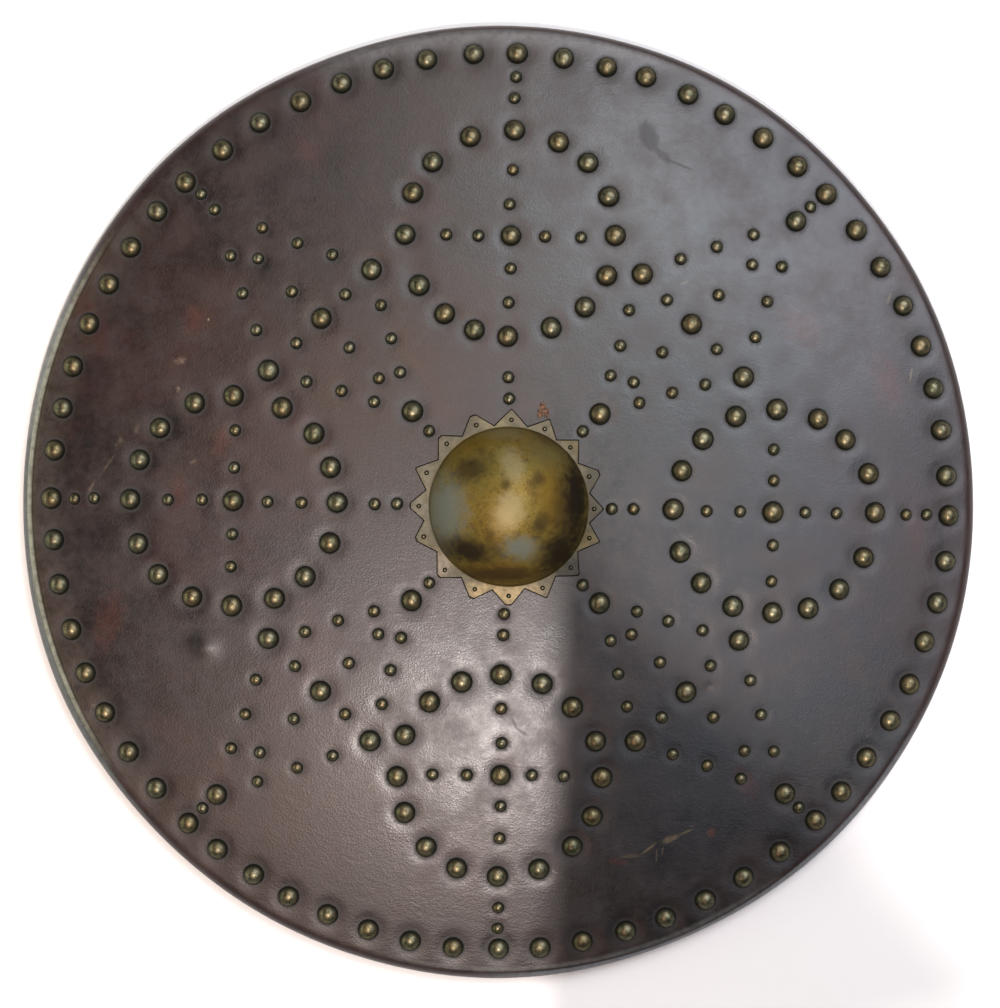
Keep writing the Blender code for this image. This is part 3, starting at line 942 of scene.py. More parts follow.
def wax_and_shade_finish():
    """Old wax and dust, nearly black, standing also for painted shade in the gap under the teeth."""
    wax = Finish("seam_wax_and_shade")
    dust = wax.noise(0.003, 4.0, 0.65)
    tone = wax.mix(wax.ramp(dust, 0.35, 0.7), *DUSTY_WAX_AND_SHADE)
    normal = wax.relief(dust, 0.1 * MM)
    wax.set(Base_Color=tone, Roughness=wax.blend(dust, 0.85, 1.0), Normal=normal,
            Specular_IOR_Level=0.05)
    return wax.material


def corrosion_finish():
    """Crumbly red and grey-green corrosion."""
    crust = Finish("corrosion")
    grit = crust.noise(0.0012, 4.0, 0.7)
    tone = crust.mix(crust.ramp(grit, 0.42, 0.58), *RED_AND_GREY_CRUST)
    normal = crust.relief(grit, 0.4 * MM)
    crust.set(Base_Color=tone, Roughness=crust.blend(grit, 0.75, 0.95), Normal=normal,
              Specular_IOR_Level=0.1)
    return crust.material


# ---------------------------------------------------------------- pieces

def skin_rise(points, heave):
    """How far the leather stands above the plain dish at each point, between the studs."""
    flat = np.column_stack([points[:, 0], points[:, 1], np.zeros(len(points))])
    reach = reach_of(points)
    rim = EDGE[:, 1].mean() - 2 * MM
    # the leather lies close beside the rim and beside the boss
    calm = np.clip((rim - reach) / (14 * MM), 0, 1) * np.clip((reach - 52 * MM) / (12 * MM), 0, 1)
    swell = value_noise(flat, 0.055, 3.1) + 0.12 * value_noise(flat, 0.017, 7.7)
    rise = heave * calm * swell
    for x, y, wide, long, turn, depth in DENTS:
        along, across = heading(turn), heading(turn + 90)
        dx, dy = points[:, 0] - x * MM, points[:, 1] - y * MM
        u = (dx * along[0] + dy * along[1]) / (long * MM / 2)
        v = (dx * across[0] + dy * across[1]) / (wide * MM / 2)
        rise -= depth * MM * np.exp(-(u * u + v * v))
    return rise


def press_round_studs(points, studs, sizes, depth):
    """Pulls the leather in round each stud head, as its nail does, and tells where the dark ring round
    each foot lies: packed soil and painted shade.
    """
    foot_shade_and_grime = np.zeros(len(points))
    for stud in studs:
        radius = sizes.big_radius if stud.big else sizes.small_radius
        pull = depth if stud.big else depth * SMALL_SINK
        reach = np.hypot(points[:, 0] - stud.x, points[:, 1] - stud.y)
        near = reach < radius * 3.2
        outside = np.maximum(reach[near] - radius * 0.9, 0.0) / (radius * 0.62)
        points[near, 2] -= pull * np.exp(-outside ** 2)
        past = np.maximum(reach[near] - radius, 0.0) / (radius * 0.08 + 0.40 * MM)
        foot_shade_and_grime[near] = np.maximum(foot_shade_and_grime[near], np.exp(-past ** 2))
    return foot_shade_and_grime


class TARGE_OT_cover_board(bpy.types.Operator):
    """Stretch the dyed leather over the dished board and turn it onto the back"""
    bl_idname = "targe.cover_board"
    bl_label = "Cover Board"

    JOIN = math.radians(77)             # where the face meets the rolled edge
    ROLL_STEPS = 14
    MARGIN = 9 * MM                     # from the edge to where the flat margin behind begins
    HOLLOW = (0.205, 0.170, 0.120, 0.060, 0.012)    # rings of the hollow behind, in metres

    def execute(self, context):
        settings = context.scene.targe_leather
        sizes = context.scene.targe_studs
        mean = float(EDGE[:, 1].mean())
        roll = settings.rim_round
        join = self.JOIN
        face_reach = mean - roll * (1 - math.cos(join))
        cover = even_disc("leather_covered_board", settings.rings, face_reach)
        points = points_of(cover)
        points[:, 2] = face_height(points[:, 0], points[:, 1])
        start = (face_reach, face_height(face_reach, 0.0))
        set_points(cover, points)
        turns = [join - (join + math.pi / 2) * step / self.ROLL_STEPS
                 for step in range(1, self.ROLL_STEPS + 1)]
        rolled = [(mean - roll * (1 - math.cos(turn)), roll * (1 + math.sin(turn)))
                  for turn in turns]
        dish_start = math.sqrt((CROWN - BACK_GAP + GAP) / FALL)
        flat = [(mean - self.MARGIN, 0.0), (dish_start + MM, 0.0)]
        hollow = [(radius, max(0.0, face_height(radius, 0.0) - BACK_GAP + GAP))
                  for radius in (dish_start - 6 * MM, *self.HOLLOW)]
        with edit_mode():
            select_open_edge()
            draw_out(rolled + flat + hollow, start)
            bpy.ops.mesh.merge(type="CENTER")
        self.shape_by_hand(cover, settings, sizes, mean)
        bpy.ops.object.shade_smooth()
        finish_piece(cover, leather_finish(settings), ("board",))
        return {"FINISHED"}

    def shape_by_hand(self, cover, settings, sizes, mean):
        """Gives the cover its cut outline, its heave, its dents and the dimples of the studs."""
        points = points_of(cover)
        reach = reach_of(points)
        swell = outline_reach(points[:, 0], points[:, 1]) - mean
        grow = 1 + swell / np.maximum(reach, MM) * (reach / mean) ** 8
        points[:, :2] *= grow[:, None]
        face = (points[:, 2] > face_height(reach, 0.0) - MM) & (reach < mean - 2 * MM)
        skin = points[face]
        skin[:, 2] += skin_rise(skin, settings.heave)
        studs = [stud for group in stud_layout(sizes).values() for stud in group]
        foot_shade_and_grime = np.zeros(len(points))
        foot_shade_and_grime[face] = press_round_studs(skin, studs, sizes, settings.dimple)
        points[face] = skin
        set_points(cover, points)
        keep_value(cover, "foot_shade_and_grime", foot_shade_and_grime)


class TARGE_OT_line_back(bpy.types.Operator):
    """Glue the hide lining to the hollow of the back"""
    bl_idname = "targe.line_back"
    bl_label = "Line Back"

    def execute(self, context):
        low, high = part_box("back_lining")
        radius = (high.x - low.x) / 2
        lining = even_disc("hide_lining", 60, radius)
        points = points_of(lining)
        reach = reach_of(points)
        points[:, 2] = np.maximum(face_height(reach, 0.0) - BACK_GAP, -GAP + LINING + MM)
        points[:, 2] -= LINING
        wrinkle = value_noise(points, 0.03, 1.3) * np.clip((radius - reach) / 0.02, 0, 1)
        points[:, 2] -= 0.12 * MM * (1 + wrinkle)
        set_points(lining, points)
        with edit_mode():
            bpy.ops.mesh.flip_normals()
        apply_modifier(lining, "SOLIDIFY", thickness=LINING * 0.9, offset=-1.0)
        bpy.ops.object.shade_smooth_by_angle(angle=math.radians(40))
        finish_piece(lining, hide_finish(context.scene.targe_back), ("back_lining",))
        return {"FINISHED"}


def boss_places():
    """Middle of the flange, tip radius of its teeth and height of the dome's top."""
    low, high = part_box("boss")
    middle = ((low.x + high.x) / 2, (low.y + high.y) / 2)
    return middle, (high.x - low.x) / 2, high.z


def flange_outline(settings, grow=0.0):
    """Points of the flange's edge from its middle: eight to a tooth, from valley to valley."""
    draw = random.Random(16)
    middle = np.array(boss_places()[0])
    turns = [bearing_of(spot_of(f"boss_pin_{tooth + 1:02d}") - middle)
             for tooth in range(settings.teeth)]
    turns[0] -= 360 if turns[0] > 180 else 0
    ends = np.array([turns[-1] - 360, *turns, turns[0] + 360])
    valleys = []
    for bearing in (ends[1:] + ends[:-1]) / 2:
        dome_edge = settings.dome_radius + heading(bearing) @ np.array(DOME_OFFSET) + 0.9 * MM
        root = max(settings.tooth_root + draw.uniform(-0.6, 0.6) * MM, dome_edge)
        valleys.append(heading(bearing) * (root + grow))
    valleys[-1] = valleys[0]
    edge = []
    for turn, (reach, blunt), valley, next_valley in zip(turns, TEETH, valleys, valleys[1:]):
        left, right = (heading(turn + side * blunt) * (reach * MM + grow) for side in (-1, 1))
        nose = (left + right) / 2 * (1 + 0.002 * blunt)
        edge += [valley, valley + (left - valley) / 3, valley + (left - valley) * 2 / 3, left,
                 nose, right, right + (next_valley - right) / 3,
                 right + (next_valley - right) * 2 / 3]
    return np.array(edge)


class TARGE_OT_raise_boss(bpy.types.Operator):
    """Raise the brass dome and cut its toothed flange"""
    bl_idname = "targe.raise_boss"
    bl_label = "Raise Boss"

    POINTS_PER_TOOTH = 8
    RINGS = 4                           # rings of faces across the flange
    LIP = 1.3 * MM                      # the dome flares into the flange over this height
    FLANGE_START = 0.6 * MM             # from the dome's foot to where the flange lies flat

    def execute(self, context):
        settings = context.scene.targe_boss
        middle, tip, top = boss_places()
        foot = GAP + settings.sheet
        height = top - face_height(0, 0) - foot
        radius = settings.dome_radius
        ball = (radius ** 2 + height ** 2) / (2 * height)
        clear_bench()
        bpy.ops.mesh.primitive_uv_sphere_add(segments=settings.teeth * self.POINTS_PER_TOOTH,
                                             ring_count=64, radius=ball,
                                             location=(0, 0, 0))
        boss = named("brass_boss")
        points = points_of(boss)
        points[:, 2] += height - ball
        set_points(boss, points)
        start_radius = math.sqrt(ball ** 2 - (self.LIP - height + ball) ** 2)
        root = settings.tooth_root
        flare = [(radius - 0.15 * MM, 0.75 * MM), (radius + 0.05 * MM, 0.35 * MM),
                 (radius + 0.30 * MM, 0.10 * MM), (radius + self.FLANGE_START, 0.0)]
        rings = [(root + (tip - root) * ring / self.RINGS, 0.0)
                 for ring in range(1, self.RINGS + 1)]
        with edit_mode():
            bpy.ops.mesh.bisect(plane_co=(0, 0, self.LIP), plane_no=(0, 0, 1), clear_inner=True)
            select_open_edge()
            draw_out(flare + rings, (start_radius, self.LIP))
        self.cut_teeth(boss, settings, middle, radius, tip)
        apply_modifier(boss, "SOLIDIFY", thickness=settings.sheet, offset=-1.0)
        apply_modifier(boss, "BEVEL", width=0.35 * MM, segments=2, limit_method="ANGLE",
                       angle_limit=math.radians(50))
        bpy.ops.object.shade_smooth_by_angle(angle=math.radians(40))
        points = points_of(boss)
        rise = (points[:, 2] - face_height(points[:, 0], points[:, 1]) - foot) / height
        keep_value(boss, "rise", np.clip(rise, 0, 1))
        # marks the faces below the flange's top, which the finish darkens as soil and painted shade
        keep_value(boss, "edge", np.clip(-rise * height / (0.3 * MM), 0, 1))
        material = boss_finish(context.scene.targe_brass)
        finish_piece(boss, material, ("boss",))
        return {"FINISHED"}

    def cut_teeth(self, boss, settings, middle, radius, tip):
        """Moves the flange's rings out to the toothed edge and sets the boss on the face."""
        edge = flange_outline(settings)
        count = len(edge)
        step = 360 / settings.teeth
        first = math.degrees(settings.first_tooth)
        points = points_of(boss)
        reach = reach_of(points)
        bearing = np.degrees(np.arctan2(points[:, 0], points[:, 1])) % 360
        place = np.round(bearing * count / 360).astype(int) % count
        start = radius + self.FLANGE_START
        on_rings = reach > start + 0.1 * MM
        part = (reach - settings.tooth_root) / (tip - settings.tooth_root)
        turned = np.radians(bearing + first - step / 2)
        x = reach * np.sin(turned) + DOME_OFFSET[0] * (1 - np.clip(part, 0, 1))
        y = reach * np.cos(turned) + DOME_OFFSET[1] * (1 - np.clip(part, 0, 1))
        inner_x = start * np.sin(turned) + DOME_OFFSET[0]
        inner_y = start * np.cos(turned) + DOME_OFFSET[1]
        x = np.where(on_rings, inner_x + (edge[place, 0] - inner_x) * part, x)
        y = np.where(on_rings, inner_y + (edge[place, 1] - inner_y) * part, y)
        uneven = value_noise(points, 0.016, 2.2) * 0.12 * MM
        points[:, 0] = x + middle[0]
        points[:, 1] = y + middle[1]
        points[:, 2] += uneven + GAP + settings.sheet
        points[:, 2] += face_height(points[:, 0], points[:, 1])
        set_points(boss, points)


class TARGE_OT_wax_and_shade_seam(bpy.types.Operator):
    """Work dark wax into the seam between the toothed flange and the leather; its dark ring round the
    teeth is also painted shade of the gap
    """
    bl_idname = "targe.wax_seam"
    bl_label = "Wax Seam"

    SPREAD = 0.75 * MM                  # how far the dark ring of wax and painted shade shows past the teeth
    DEPTH = 0.12 * MM
    STEP = 4 * MM                       # of the two rings of faces, before they are laid out

    def execute(self, context):
        settings = context.scene.targe_boss
        edge = flange_outline(settings, self.SPREAD)
        middle = np.array(boss_places()[0])
        inner = settings.dome_radius - 2 * MM
        clear_bench()
        bpy.ops.mesh.primitive_circle_add(vertices=len(edge), radius=inner, fill_type="NOTHING")
        seam = named("wax_seam")
        with edit_mode():
            draw_out([(inner + self.STEP, 0.0), (inner + 2 * self.STEP, 0.0)], (inner, 0.0))
        points = points_of(seam)
        reach = reach_of(points)
        share_out = (reach - inner) / (2 * self.STEP)
        count = len(edge)
        turn = np.degrees(np.arctan2(points[:, 0], points[:, 1])) % 360
        place = np.round(turn * count / 360).astype(int) % count
        start = edge / np.hypot(edge[:, 0], edge[:, 1])[:, None] * inner
        points[:, :2] = start[place] + (edge[place] - start[place]) * share_out[:, None] + middle
        points[:, 2] = face_height(points[:, 0], points[:, 1]) + GAP / 2
        set_points(seam, points)
        apply_modifier(seam, "SOLIDIFY", thickness=self.DEPTH, offset=0.0)
        take(seam)
        with edit_mode():
            bpy.ops.mesh.normals_make_consistent(inside=False)
        finish_piece(seam, wax_and_shade_finish())
        return {"FINISHED"}


class TARGE_OT_grow_corrosion(bpy.types.Operator):
    """Let a crumb of corrosion grow beside the tooth east of north"""
    bl_idname = "targe.grow_corrosion"
    bl_label = "Grow Corrosion"

    CRUMBS = ((22.0, 45.0, 2.0, 3.0, 1.0), (24.2, 43.6, 1.2, 2.5, 1.2), (22.1, 48.0, 1.3, 1.1, 0.7),
              (20.6, 42.6, 1.0, 1.3, 0.6))     # x, y, half width, half length, height in mm

    def execute(self, context):
        crumbs = []
        for number, (x, y, wide, long, high) in enumerate(self.CRUMBS):
            clear_bench()
            bpy.ops.mesh.primitive_ico_sphere_add(subdivisions=4, radius=1.0)
            crumb = named("corrosion_crumb")
            points = points_of(crumb)
            bumps = 1 + 0.35 * value_noise(points, 0.45, 5.0 + number)
            points *= bumps[:, None] * np.array([wide, long, high]) * MM
            points += np.array([x * MM, y * MM, face_height(x * MM, y * MM)])
            set_points(crumb, points)
            bpy.ops.object.shade_smooth()
            crumbs.append(crumb)
        finish_piece(joined("corrosion_crumb", crumbs), corrosion_finish())
        return {"FINISHED"}


def nail_head(name, radius, height, segments, rings):
    """A domed head with a closed flat base on the ground and its crown up."""
    clear_bench()
    bpy.ops.mesh.primitive_uv_sphere_add(segments=segments, ring_count=2 * rings, radius=1.0)
    head = named(name)
    with edit_mode():
        bpy.ops.mesh.bisect(plane_co=(0, 0, -0.001), plane_no=(0, 0, 1), use_fill=True,
                            clear_inner=True)
        bpy.ops.mesh.select_all(action="SELECT")
        bpy.ops.transform.resize(value=(radius, radius, height), center_override=(0, 0, 0))
    bpy.ops.object.shade_smooth_by_angle(angle=math.radians(60))
    keep_value(head, "rise", np.clip(points_of(head)[:, 2] / height, 0, 1))
    keep_value(head, "tone", np.zeros(len(head.data.vertices)))
    return head


def copies_joined(name, template, placements, draw):
    """Sets a copy of a template at each placement and joins the copies in one piece."""
    copies = []
    for placement in placements:
        copy = template.copy()
        copy.data = template.data.copy()
        copy.data.transform(placement)
        tone = np.full(len(copy.data.vertices), draw.random(), np.float32)
        copy.data.attributes["tone"].data.foreach_set("value", tone)
        bpy.context.scene.collection.objects.link(copy)
        copies.append(copy)
    return joined(name, copies)


def discard(*pieces):
    """Takes templates off the bench."""
    for piece in pieces:
        bpy.data.objects.remove(piece, do_unlink=True)


def head_placement(spot, normal, height, draw, lean):
    """Where a hand-driven head sits: spun at random, leaning a little, and never quite alike."""
    tip = Matrix.Rotation(draw.uniform(0, lean), 4, Vector((draw.gauss(0, 1), draw.gauss(0, 1), 0)))
    spin = Matrix.Rotation(draw.uniform(0, math.tau), 4, "Z")
    grow = Matrix.Diagonal((draw.uniform(0.97, 1.03), draw.uniform(0.97, 1.03),
                            draw.uniform(0.94, 1.05), 1.0))
    return standing_on(spot[0], spot[1], height, normal) @ tip @ spin @ grow


def set_studs(context, group):
    """Drives the studs of one group into the leather and joins them in one piece."""
    sizes = context.scene.targe_studs
    leather = context.scene.targe_leather
    studs = stud_layout(sizes)[group]
    draw = random.Random(group)
    big = nail_head("large_head", sizes.big_radius, sizes.big_height, 18, 4)
    small = nail_head("small_head", sizes.small_radius, sizes.small_height, 14, 3)
    parts = []
    for template, is_big, sink in ((big, True, 1.0), (small, False, SMALL_SINK)):
        chosen = [stud for stud in studs if stud.big == is_big]
        placements = []
        if not chosen:
            continue
        rises = skin_rise(np.array([(stud.x, stud.y) for stud in chosen]), leather.heave)
        for stud, rise in zip(chosen, rises):
            height = face_height(stud.x, stud.y) + rise - leather.dimple * sink * HEAD_SEAT
            placements.append(head_placement((stud.x, stud.y), face_normal(stud.x, stud.y),
                                             height, draw, sizes.lean))
        parts.append(copies_joined(group, template, placements, draw))
    discard(big, small)
    return joined(group, parts)


def stud_material(context):
    """The studs share one finish."""
    return bpy.data.materials.get(STUD_FINISH) or stud_finish(context.scene.targe_brass)


class TARGE_OT_set_rim_studs(bpy.types.Operator):
    """Drive the ring of large studs along the rim"""
    bl_idname = "targe.set_rim_studs"
    bl_label = "Set Rim Studs"

    def execute(self, context):
        piece = set_studs(context, "rim_studs")
        nodes = [f"stud_rim_{side}" for side in SIDES]
        finish_piece(piece, stud_material(context), nodes)
        return {"FINISHED"}


class TARGE_OT_set_roundel_studs(bpy.types.Operator):
    """Drive the four roundels, each a ring round a cross"""
    bl_idname = "targe.set_roundel_studs"
    bl_label = "Set Roundel Studs"

    def execute(self, context):
        for side in SIDES:
            piece = set_studs(context, f"roundel_studs_{side}")
            finish_piece(piece, stud_material(context), (f"stud_roundel_{side}",))
        return {"FINISHED"}


class TARGE_OT_set_lozenge_studs(bpy.types.Operator):
    """Drive the four lozenges between the roundels"""
    bl_idname = "targe.set_lozenge_studs"
    bl_label = "Set Lozenge Studs"

    def execute(self, context):
        for corner in CORNERS:
            piece = set_studs(context, f"lozenge_studs_{corner}")
            nodes = (f"stud_lozenge_{corner}", f"stud_lozenge_{corner}_left",
                     f"stud_lozenge_{corner}_right", f"stud_inner_{corner}",
                     f"stud_outer_{corner}")
            finish_piece(piece, stud_material(context), nodes)
        return {"FINISHED"}


class TARGE_OT_set_axis_studs(bpy.types.Operator):
    """Drive the short rows of small studs along the four axes"""
    bl_idname = "targe.set_axis_studs"
    bl_label = "Set Axis Studs"

    def execute(self, context):
        piece = set_studs(context, "axis_studs")
        finish_piece(piece, stud_material(context))
        return {"FINISHED"}


class TARGE_OT_pin_boss(bpy.types.Operator):
    """Fix each tooth of the flange with a small pin"""
    bl_idname = "targe.pin_boss"
    bl_label = "Pin Boss"

    def execute(self, context):
        settings = context.scene.targe_boss
        draw = random.Random("pins")
        pin = nail_head("pin_head", settings.pin_radius, settings.pin_radius * 0.7, 12, 3)
        bare = 0.55 * MM                # only the crown is left bright; below it the pin takes the dark foot colour of soil and painted shade
        reach = reach_of(points_of(pin))
        pin.data.attributes["rise"].data.foreach_set(
            "value", np.clip(1.6 - reach / bare, 0, 1).astype(np.float32))
        placements, nodes = [], []
        for number in range(settings.teeth):
            node = f"boss_pin_{number + 1:02d}"
            nodes.append(node)
            spot = spot_of(node) + np.array([draw.gauss(0, 0.15) * MM for _ in "xy"])
            height = face_height(*spot) + GAP + settings.sheet - 0.05 * MM
            placements.append(head_placement(spot, face_normal(*spot), height, draw, 0.1))
        pins = copies_joined("boss_pins", pin, placements, draw)
        discard(pin)
        finish_piece(pins, stud_material(context), nodes)
        return {"FINISHED"}


class TARGE_OT_cut_straps(bpy.types.Operator):
    """Cut the arm strap and the hand grip and fix them over the lining"""
    bl_idname = "targe.cut_straps"
    bl_label = "Cut Straps"

    BEND = 24 * MM                      # length over which a strap leaves the lining
    FEET = {"arm_strap": 26 * MM, "hand_grip": 24 * MM}
    THICKNESS = {"arm_strap": 3.0 * MM, "hand_grip": 3.6 * MM}
    CUP = 0.5 * MM                      # how much a slack strap curls across
    PULLED_IN = 0.05                    # share of its width that a slack strap loses

    def execute(self, context):
        settings = context.scene.targe_back
        material = strap_finish(settings)
        for node in self.FEET:
            strap = self.cut(node, settings)
            finish_piece(strap, material, (node,))
        return {"FINISHED"}

    def cut(self, node, settings):
        """Cuts one strap: flat on the lining at both feet and slack between them."""
        low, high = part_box(node)
        wide, long = high.x - low.x, high.y - low.y
        middle = ((low.x + high.x) / 2, (low.y + high.y) / 2)
        thickness = self.THICKNESS[node]
        clear_bench()
        bpy.ops.mesh.primitive_grid_add(x_subdivisions=12, y_subdivisions=72, size=1.0)
        strap = named(f"{node}_leather")
        with edit_mode():
            bpy.ops.transform.resize(value=(wide, long, 1.0), center_override=(0, 0, 0))
            bpy.ops.transform.translate(value=(middle[0], middle[1], 0))
        points = points_of(strap)
        seat = face_height(points[:, 0], points[:, 1]) - BACK_GAP - LINING - GAP
        reach = long / 2 - self.FEET[node]
        slack = np.clip((reach - np.abs(points[:, 1] - middle[1])) / self.BEND, 0, 1)
        slack = slack * slack * (3 - 2 * slack)
        belly = low.z + thickness
        points[:, 2] = seat + slack * (belly - seat)
        across = (points[:, 0] - middle[0]) / (wide / 2)
        points[:, 2] += slack * self.CUP * across ** 2
        points[:, 0] = middle[0] + (points[:, 0] - middle[0]) * (1 - self.PULLED_IN * slack)
        set_points(strap, points)
        apply_modifier(strap, "SOLIDIFY", thickness=thickness, offset=-1.0)
        apply_modifier(strap, "BEVEL", width=settings.edge_round, segments=3,
                       limit_method="ANGLE", angle_limit=math.radians(60))
        bpy.ops.object.shade_smooth_by_angle(angle=math.radians(50))
        return strap


class TARGE_OT_nail_straps(bpy.types.Operator):
    """Nail the feet of both straps"""
    bl_idname = "targe.nail_straps"
    bl_label = "Nail Straps"

    HEAD_HEIGHT = 1.4 * MM

    def execute(self, context):
        draw = random.Random("nails")
        for node in ("arm_strap", "hand_grip"):
            nodes = [f"{node}_nail_{number}" for number in (1, 2, 3, 4)]
            low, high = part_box(nodes[0])
            head = nail_head("strap_nail_head", (high.x - low.x) / 2, self.HEAD_HEIGHT,
                             16, 3)
            placements = []
            for nail in nodes:
                spot = spot_of(nail)
                normal = -face_normal(*spot)
                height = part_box(nail)[1].z + 0.1 * MM
                placements.append(head_placement(spot, normal, height, draw, 0.05))
            nails = copies_joined(f"{node}_nails", head, placements, draw)
            discard(head)
            finish_piece(nails, stud_material(context), nodes)
        return {"FINISHED"}


class TARGE_OT_light_stage(bpy.types.Operator):
    """Lay the pale floor and set up the lights and the camera"""
    bl_idname = "targe.light_stage"
    bl_label = "Light Stage"

    AIM = Vector((0, 0, 0.03))
    DISTANCE = 2.0                      # from the shield to each light
    LIGHTS = (                          # name, bearing, elevation, width, height, power, colour
        ("sky_northeast", 46, 55, 1.4, 1.2, 33.5, (0.91, 0.89, 1.00)),
        ("high_northeast", 35, 68, 0.8, 0.8, 5.6, (0.55, 0.98, 1.00)),
        ("window_north", 2, 53, 1.0, 0.8, 7.4, (1.00, 0.90, 0.82)),
        ("high_northwest", 318, 77, 0.7, 0.7, 6.9, (1.00, 0.61, 0.44)),
        ("window_east", 112, 62, 0.8, 0.8, 6.6, (0.79, 0.86, 1.00)),
        ("fill_south", 207, 62, 1.1, 0.8, 9.4, (1.00, 0.64, 0.50)),
        ("high_southwest", 246, 79, 0.5, 0.5, 2.6, (0.80, 0.92, 1.00)),
        ("window_west", 270, 20, 1.8, 0.6, 13.0, (0.96, 1.00, 0.82)),
    )
    LAMP_AT = (0.015, -0.67, 2.0)
    FLOOR_RADIUS = 5.0
    FLAG = ((0.028, -0.146, 0.5), (0.0206, -0.402, 0.5), (0.153, -0.444, 0.9),
            (0.0435, -0.315, 0.9))       # corners of the dark card that shades the lamp

    def execute(self, context):
        settings = context.scene.targe_stage
        self.lay_floor(settings)
        for light in self.LIGHTS:
            self.hang_light(*light)
        self.hang_lamp(settings)
        self.hang_flag()
        self.brighten_room(context, settings)
        self.set_camera(context, settings)
        context.scene.view_settings.view_transform = "Standard"
        context.scene.view_settings.look = "None"
        return {"FINISHED"}

    def lay_floor(self, settings):
        """Lays the round pale floor."""
        clear_bench()
        bpy.ops.mesh.primitive_circle_add(vertices=96, radius=self.FLOOR_RADIUS, fill_type="NGON",
                                          location=(0, 0, -0.2 * MM))
        floor = named("floor")
        pale = Finish("pale_floor")
        mottle = pale.noise(0.5, 3.0)
        tone = pale.mix(pale.ramp(mottle, 0.2, 0.8, 0.0, 0.04), settings.floor, (0.6, 0.6, 0.6))
        pale.set(Base_Color=tone, Roughness=0.9)
        floor.data.materials.append(pale.material)

    def hang_light(self, name, bearing, elevation, width, height, power, tint):
        """Hangs one soft light and turns it to the shield."""
        out = self.DISTANCE * math.cos(math.radians(elevation))
        x, y = heading(bearing) * out
        clear_bench()
        bpy.ops.object.light_add(type="AREA", location=(
            x, y, self.AIM.z + self.DISTANCE * math.sin(math.radians(elevation))))
        light = bpy.context.active_object
        light.name = name
        light.rotation_euler = (light.location - self.AIM).to_track_quat("Z", "Y").to_euler()
        light.data.shape = "RECTANGLE"
        light.data.size = width
        light.data.size_y = height
        light.data.energy = power
        light.data.color = tint
        light.visible_camera = False

    def hang_lamp(self, settings):
        """Hangs the small lamp that glows on the lower half of the face."""
        clear_bench()
        bpy.ops.object.light_add(type="AREA", location=self.LAMP_AT)
        lamp = bpy.context.active_object
        lamp.name = "small_lamp"
        lamp.rotation_euler = (lamp.location - self.AIM).to_track_quat("Z", "Y").to_euler()
        lamp.data.shape = "DISK"
        lamp.data.size = 0.07
        lamp.data.energy = settings.lamp
        lamp.data.color = (1.0, 0.90, 0.86)
        lamp.visible_camera = False

    def hang_flag(self):
        """Hangs the dark card between the lamp and the lower right of the shield."""
        clear_bench()
        bpy.ops.mesh.primitive_plane_add(size=1.0)
        flag = named("dark_card")
        set_points(flag, np.array([self.FLAG[corner] for corner in (1, 2, 0, 3)]))
        card = Finish("dark_card")
        fibre = card.noise(0.004, 3.0)
        card.set(Base_Color=card.mix(fibre, (0.008, 0.008, 0.008), (0.014, 0.014, 0.014)),
                 Roughness=0.95)
        flag.data.materials.append(card.material)
        flag.visible_camera = False

    def brighten_room(self, context, settings):
        """Makes the room pale at eye level and dim overhead."""
        room = bpy.data.worlds.new("pale_room")
        context.scene.world = room
        room.use_nodes = True
        nodes, links = room.node_tree.nodes, room.node_tree.links
        split = nodes.new("ShaderNodeSeparateXYZ")
        fade = nodes.new("ShaderNodeMapRange")
        fade.interpolation_type = "SMOOTHSTEP"
        links.new(nodes.new("ShaderNodeTexCoord").outputs["Generated"], split.inputs[0])
        links.new(split.outputs["Z"], fade.inputs["Value"])
        for socket, value in zip(fade.inputs[1:5], (0.15, 0.62, settings.room, 0.0)):
            socket.default_value = value
        background = nodes["Background"]
        background.inputs["Color"].default_value = (0.95, 0.97, 1.0, 1.0)
        links.new(fade.outputs["Result"], background.inputs["Strength"])

    def set_camera(self, context, settings):
        """Sets the camera straight above, looking down."""
        clear_bench()
        bpy.ops.object.camera_add(location=(1.0 * MM, -1.4 * MM, settings.camera_height),
                                  rotation=(0, 0, 0))
        camera = bpy.context.active_object
        camera.data.lens = settings.lens
        camera.data.sensor_width = 36.0
        camera.data.clip_start = 0.05
        context.scene.camera = camera


PIECES = (
    TARGE_OT_cover_board,
    TARGE_OT_line_back,
    TARGE_OT_raise_boss,
    TARGE_OT_pin_boss,
    TARGE_OT_wax_and_shade_seam,
    TARGE_OT_grow_corrosion,
    TARGE_OT_set_rim_studs,
    TARGE_OT_set_roundel_studs,
    TARGE_OT_set_lozenge_studs,
    TARGE_OT_set_axis_studs,
    TARGE_OT_cut_straps,
    TARGE_OT_nail_straps,
    TARGE_OT_light_stage,
)


class TARGE_PT_workshop(bpy.types.Panel):
    """Lists the steps of the finish and their settings"""
    bl_idname = "TARGE_PT_workshop"
    bl_label = "Targe"
    bl_space_type = "VIEW_3D"
    bl_region_type = "UI"
    bl_category = "Targe"

    def draw(self, context):
        for piece in PIECES:
            self.layout.operator(piece.bl_idname)
        for name, group in SETTINGS.items():
            box = self.layout.box()
            box.label(text=group.__doc__)
            for prop in group.__annotations__:
                box.prop(getattr(context.scene, name), prop)


CLASSES = (*SETTINGS.values(), *PIECES, TARGE_PT_workshop)


def register():
    """Adds the settings, the steps and their panel to the program."""
    for item in CLASSES:
        bpy.utils.register_class(item)
    for name, group in SETTINGS.items():
        setattr(bpy.types.Scene, name, PointerProperty(type=group))


def unregister():
    """Takes them away again."""
    for name in SETTINGS:
        delattr(bpy.types.Scene, name)
    for item in reversed(CLASSES):
        bpy.utils.unregister_class(item)


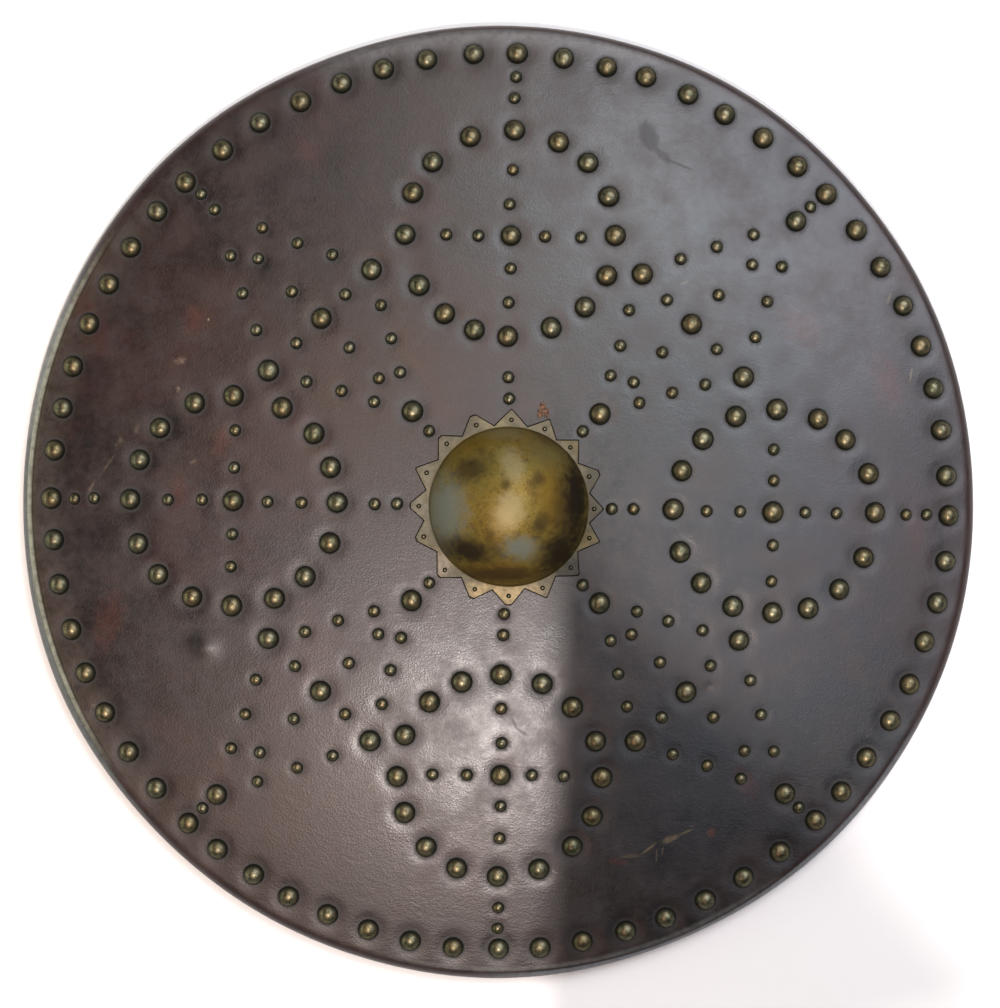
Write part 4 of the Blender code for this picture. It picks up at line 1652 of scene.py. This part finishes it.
def main():
    """Makes every piece in order."""
    register()
    for piece in PIECES:
        group, step = piece.bl_idname.split(".")
        getattr(getattr(bpy.ops, group), step)()


if __name__ == "__main__":
    main()
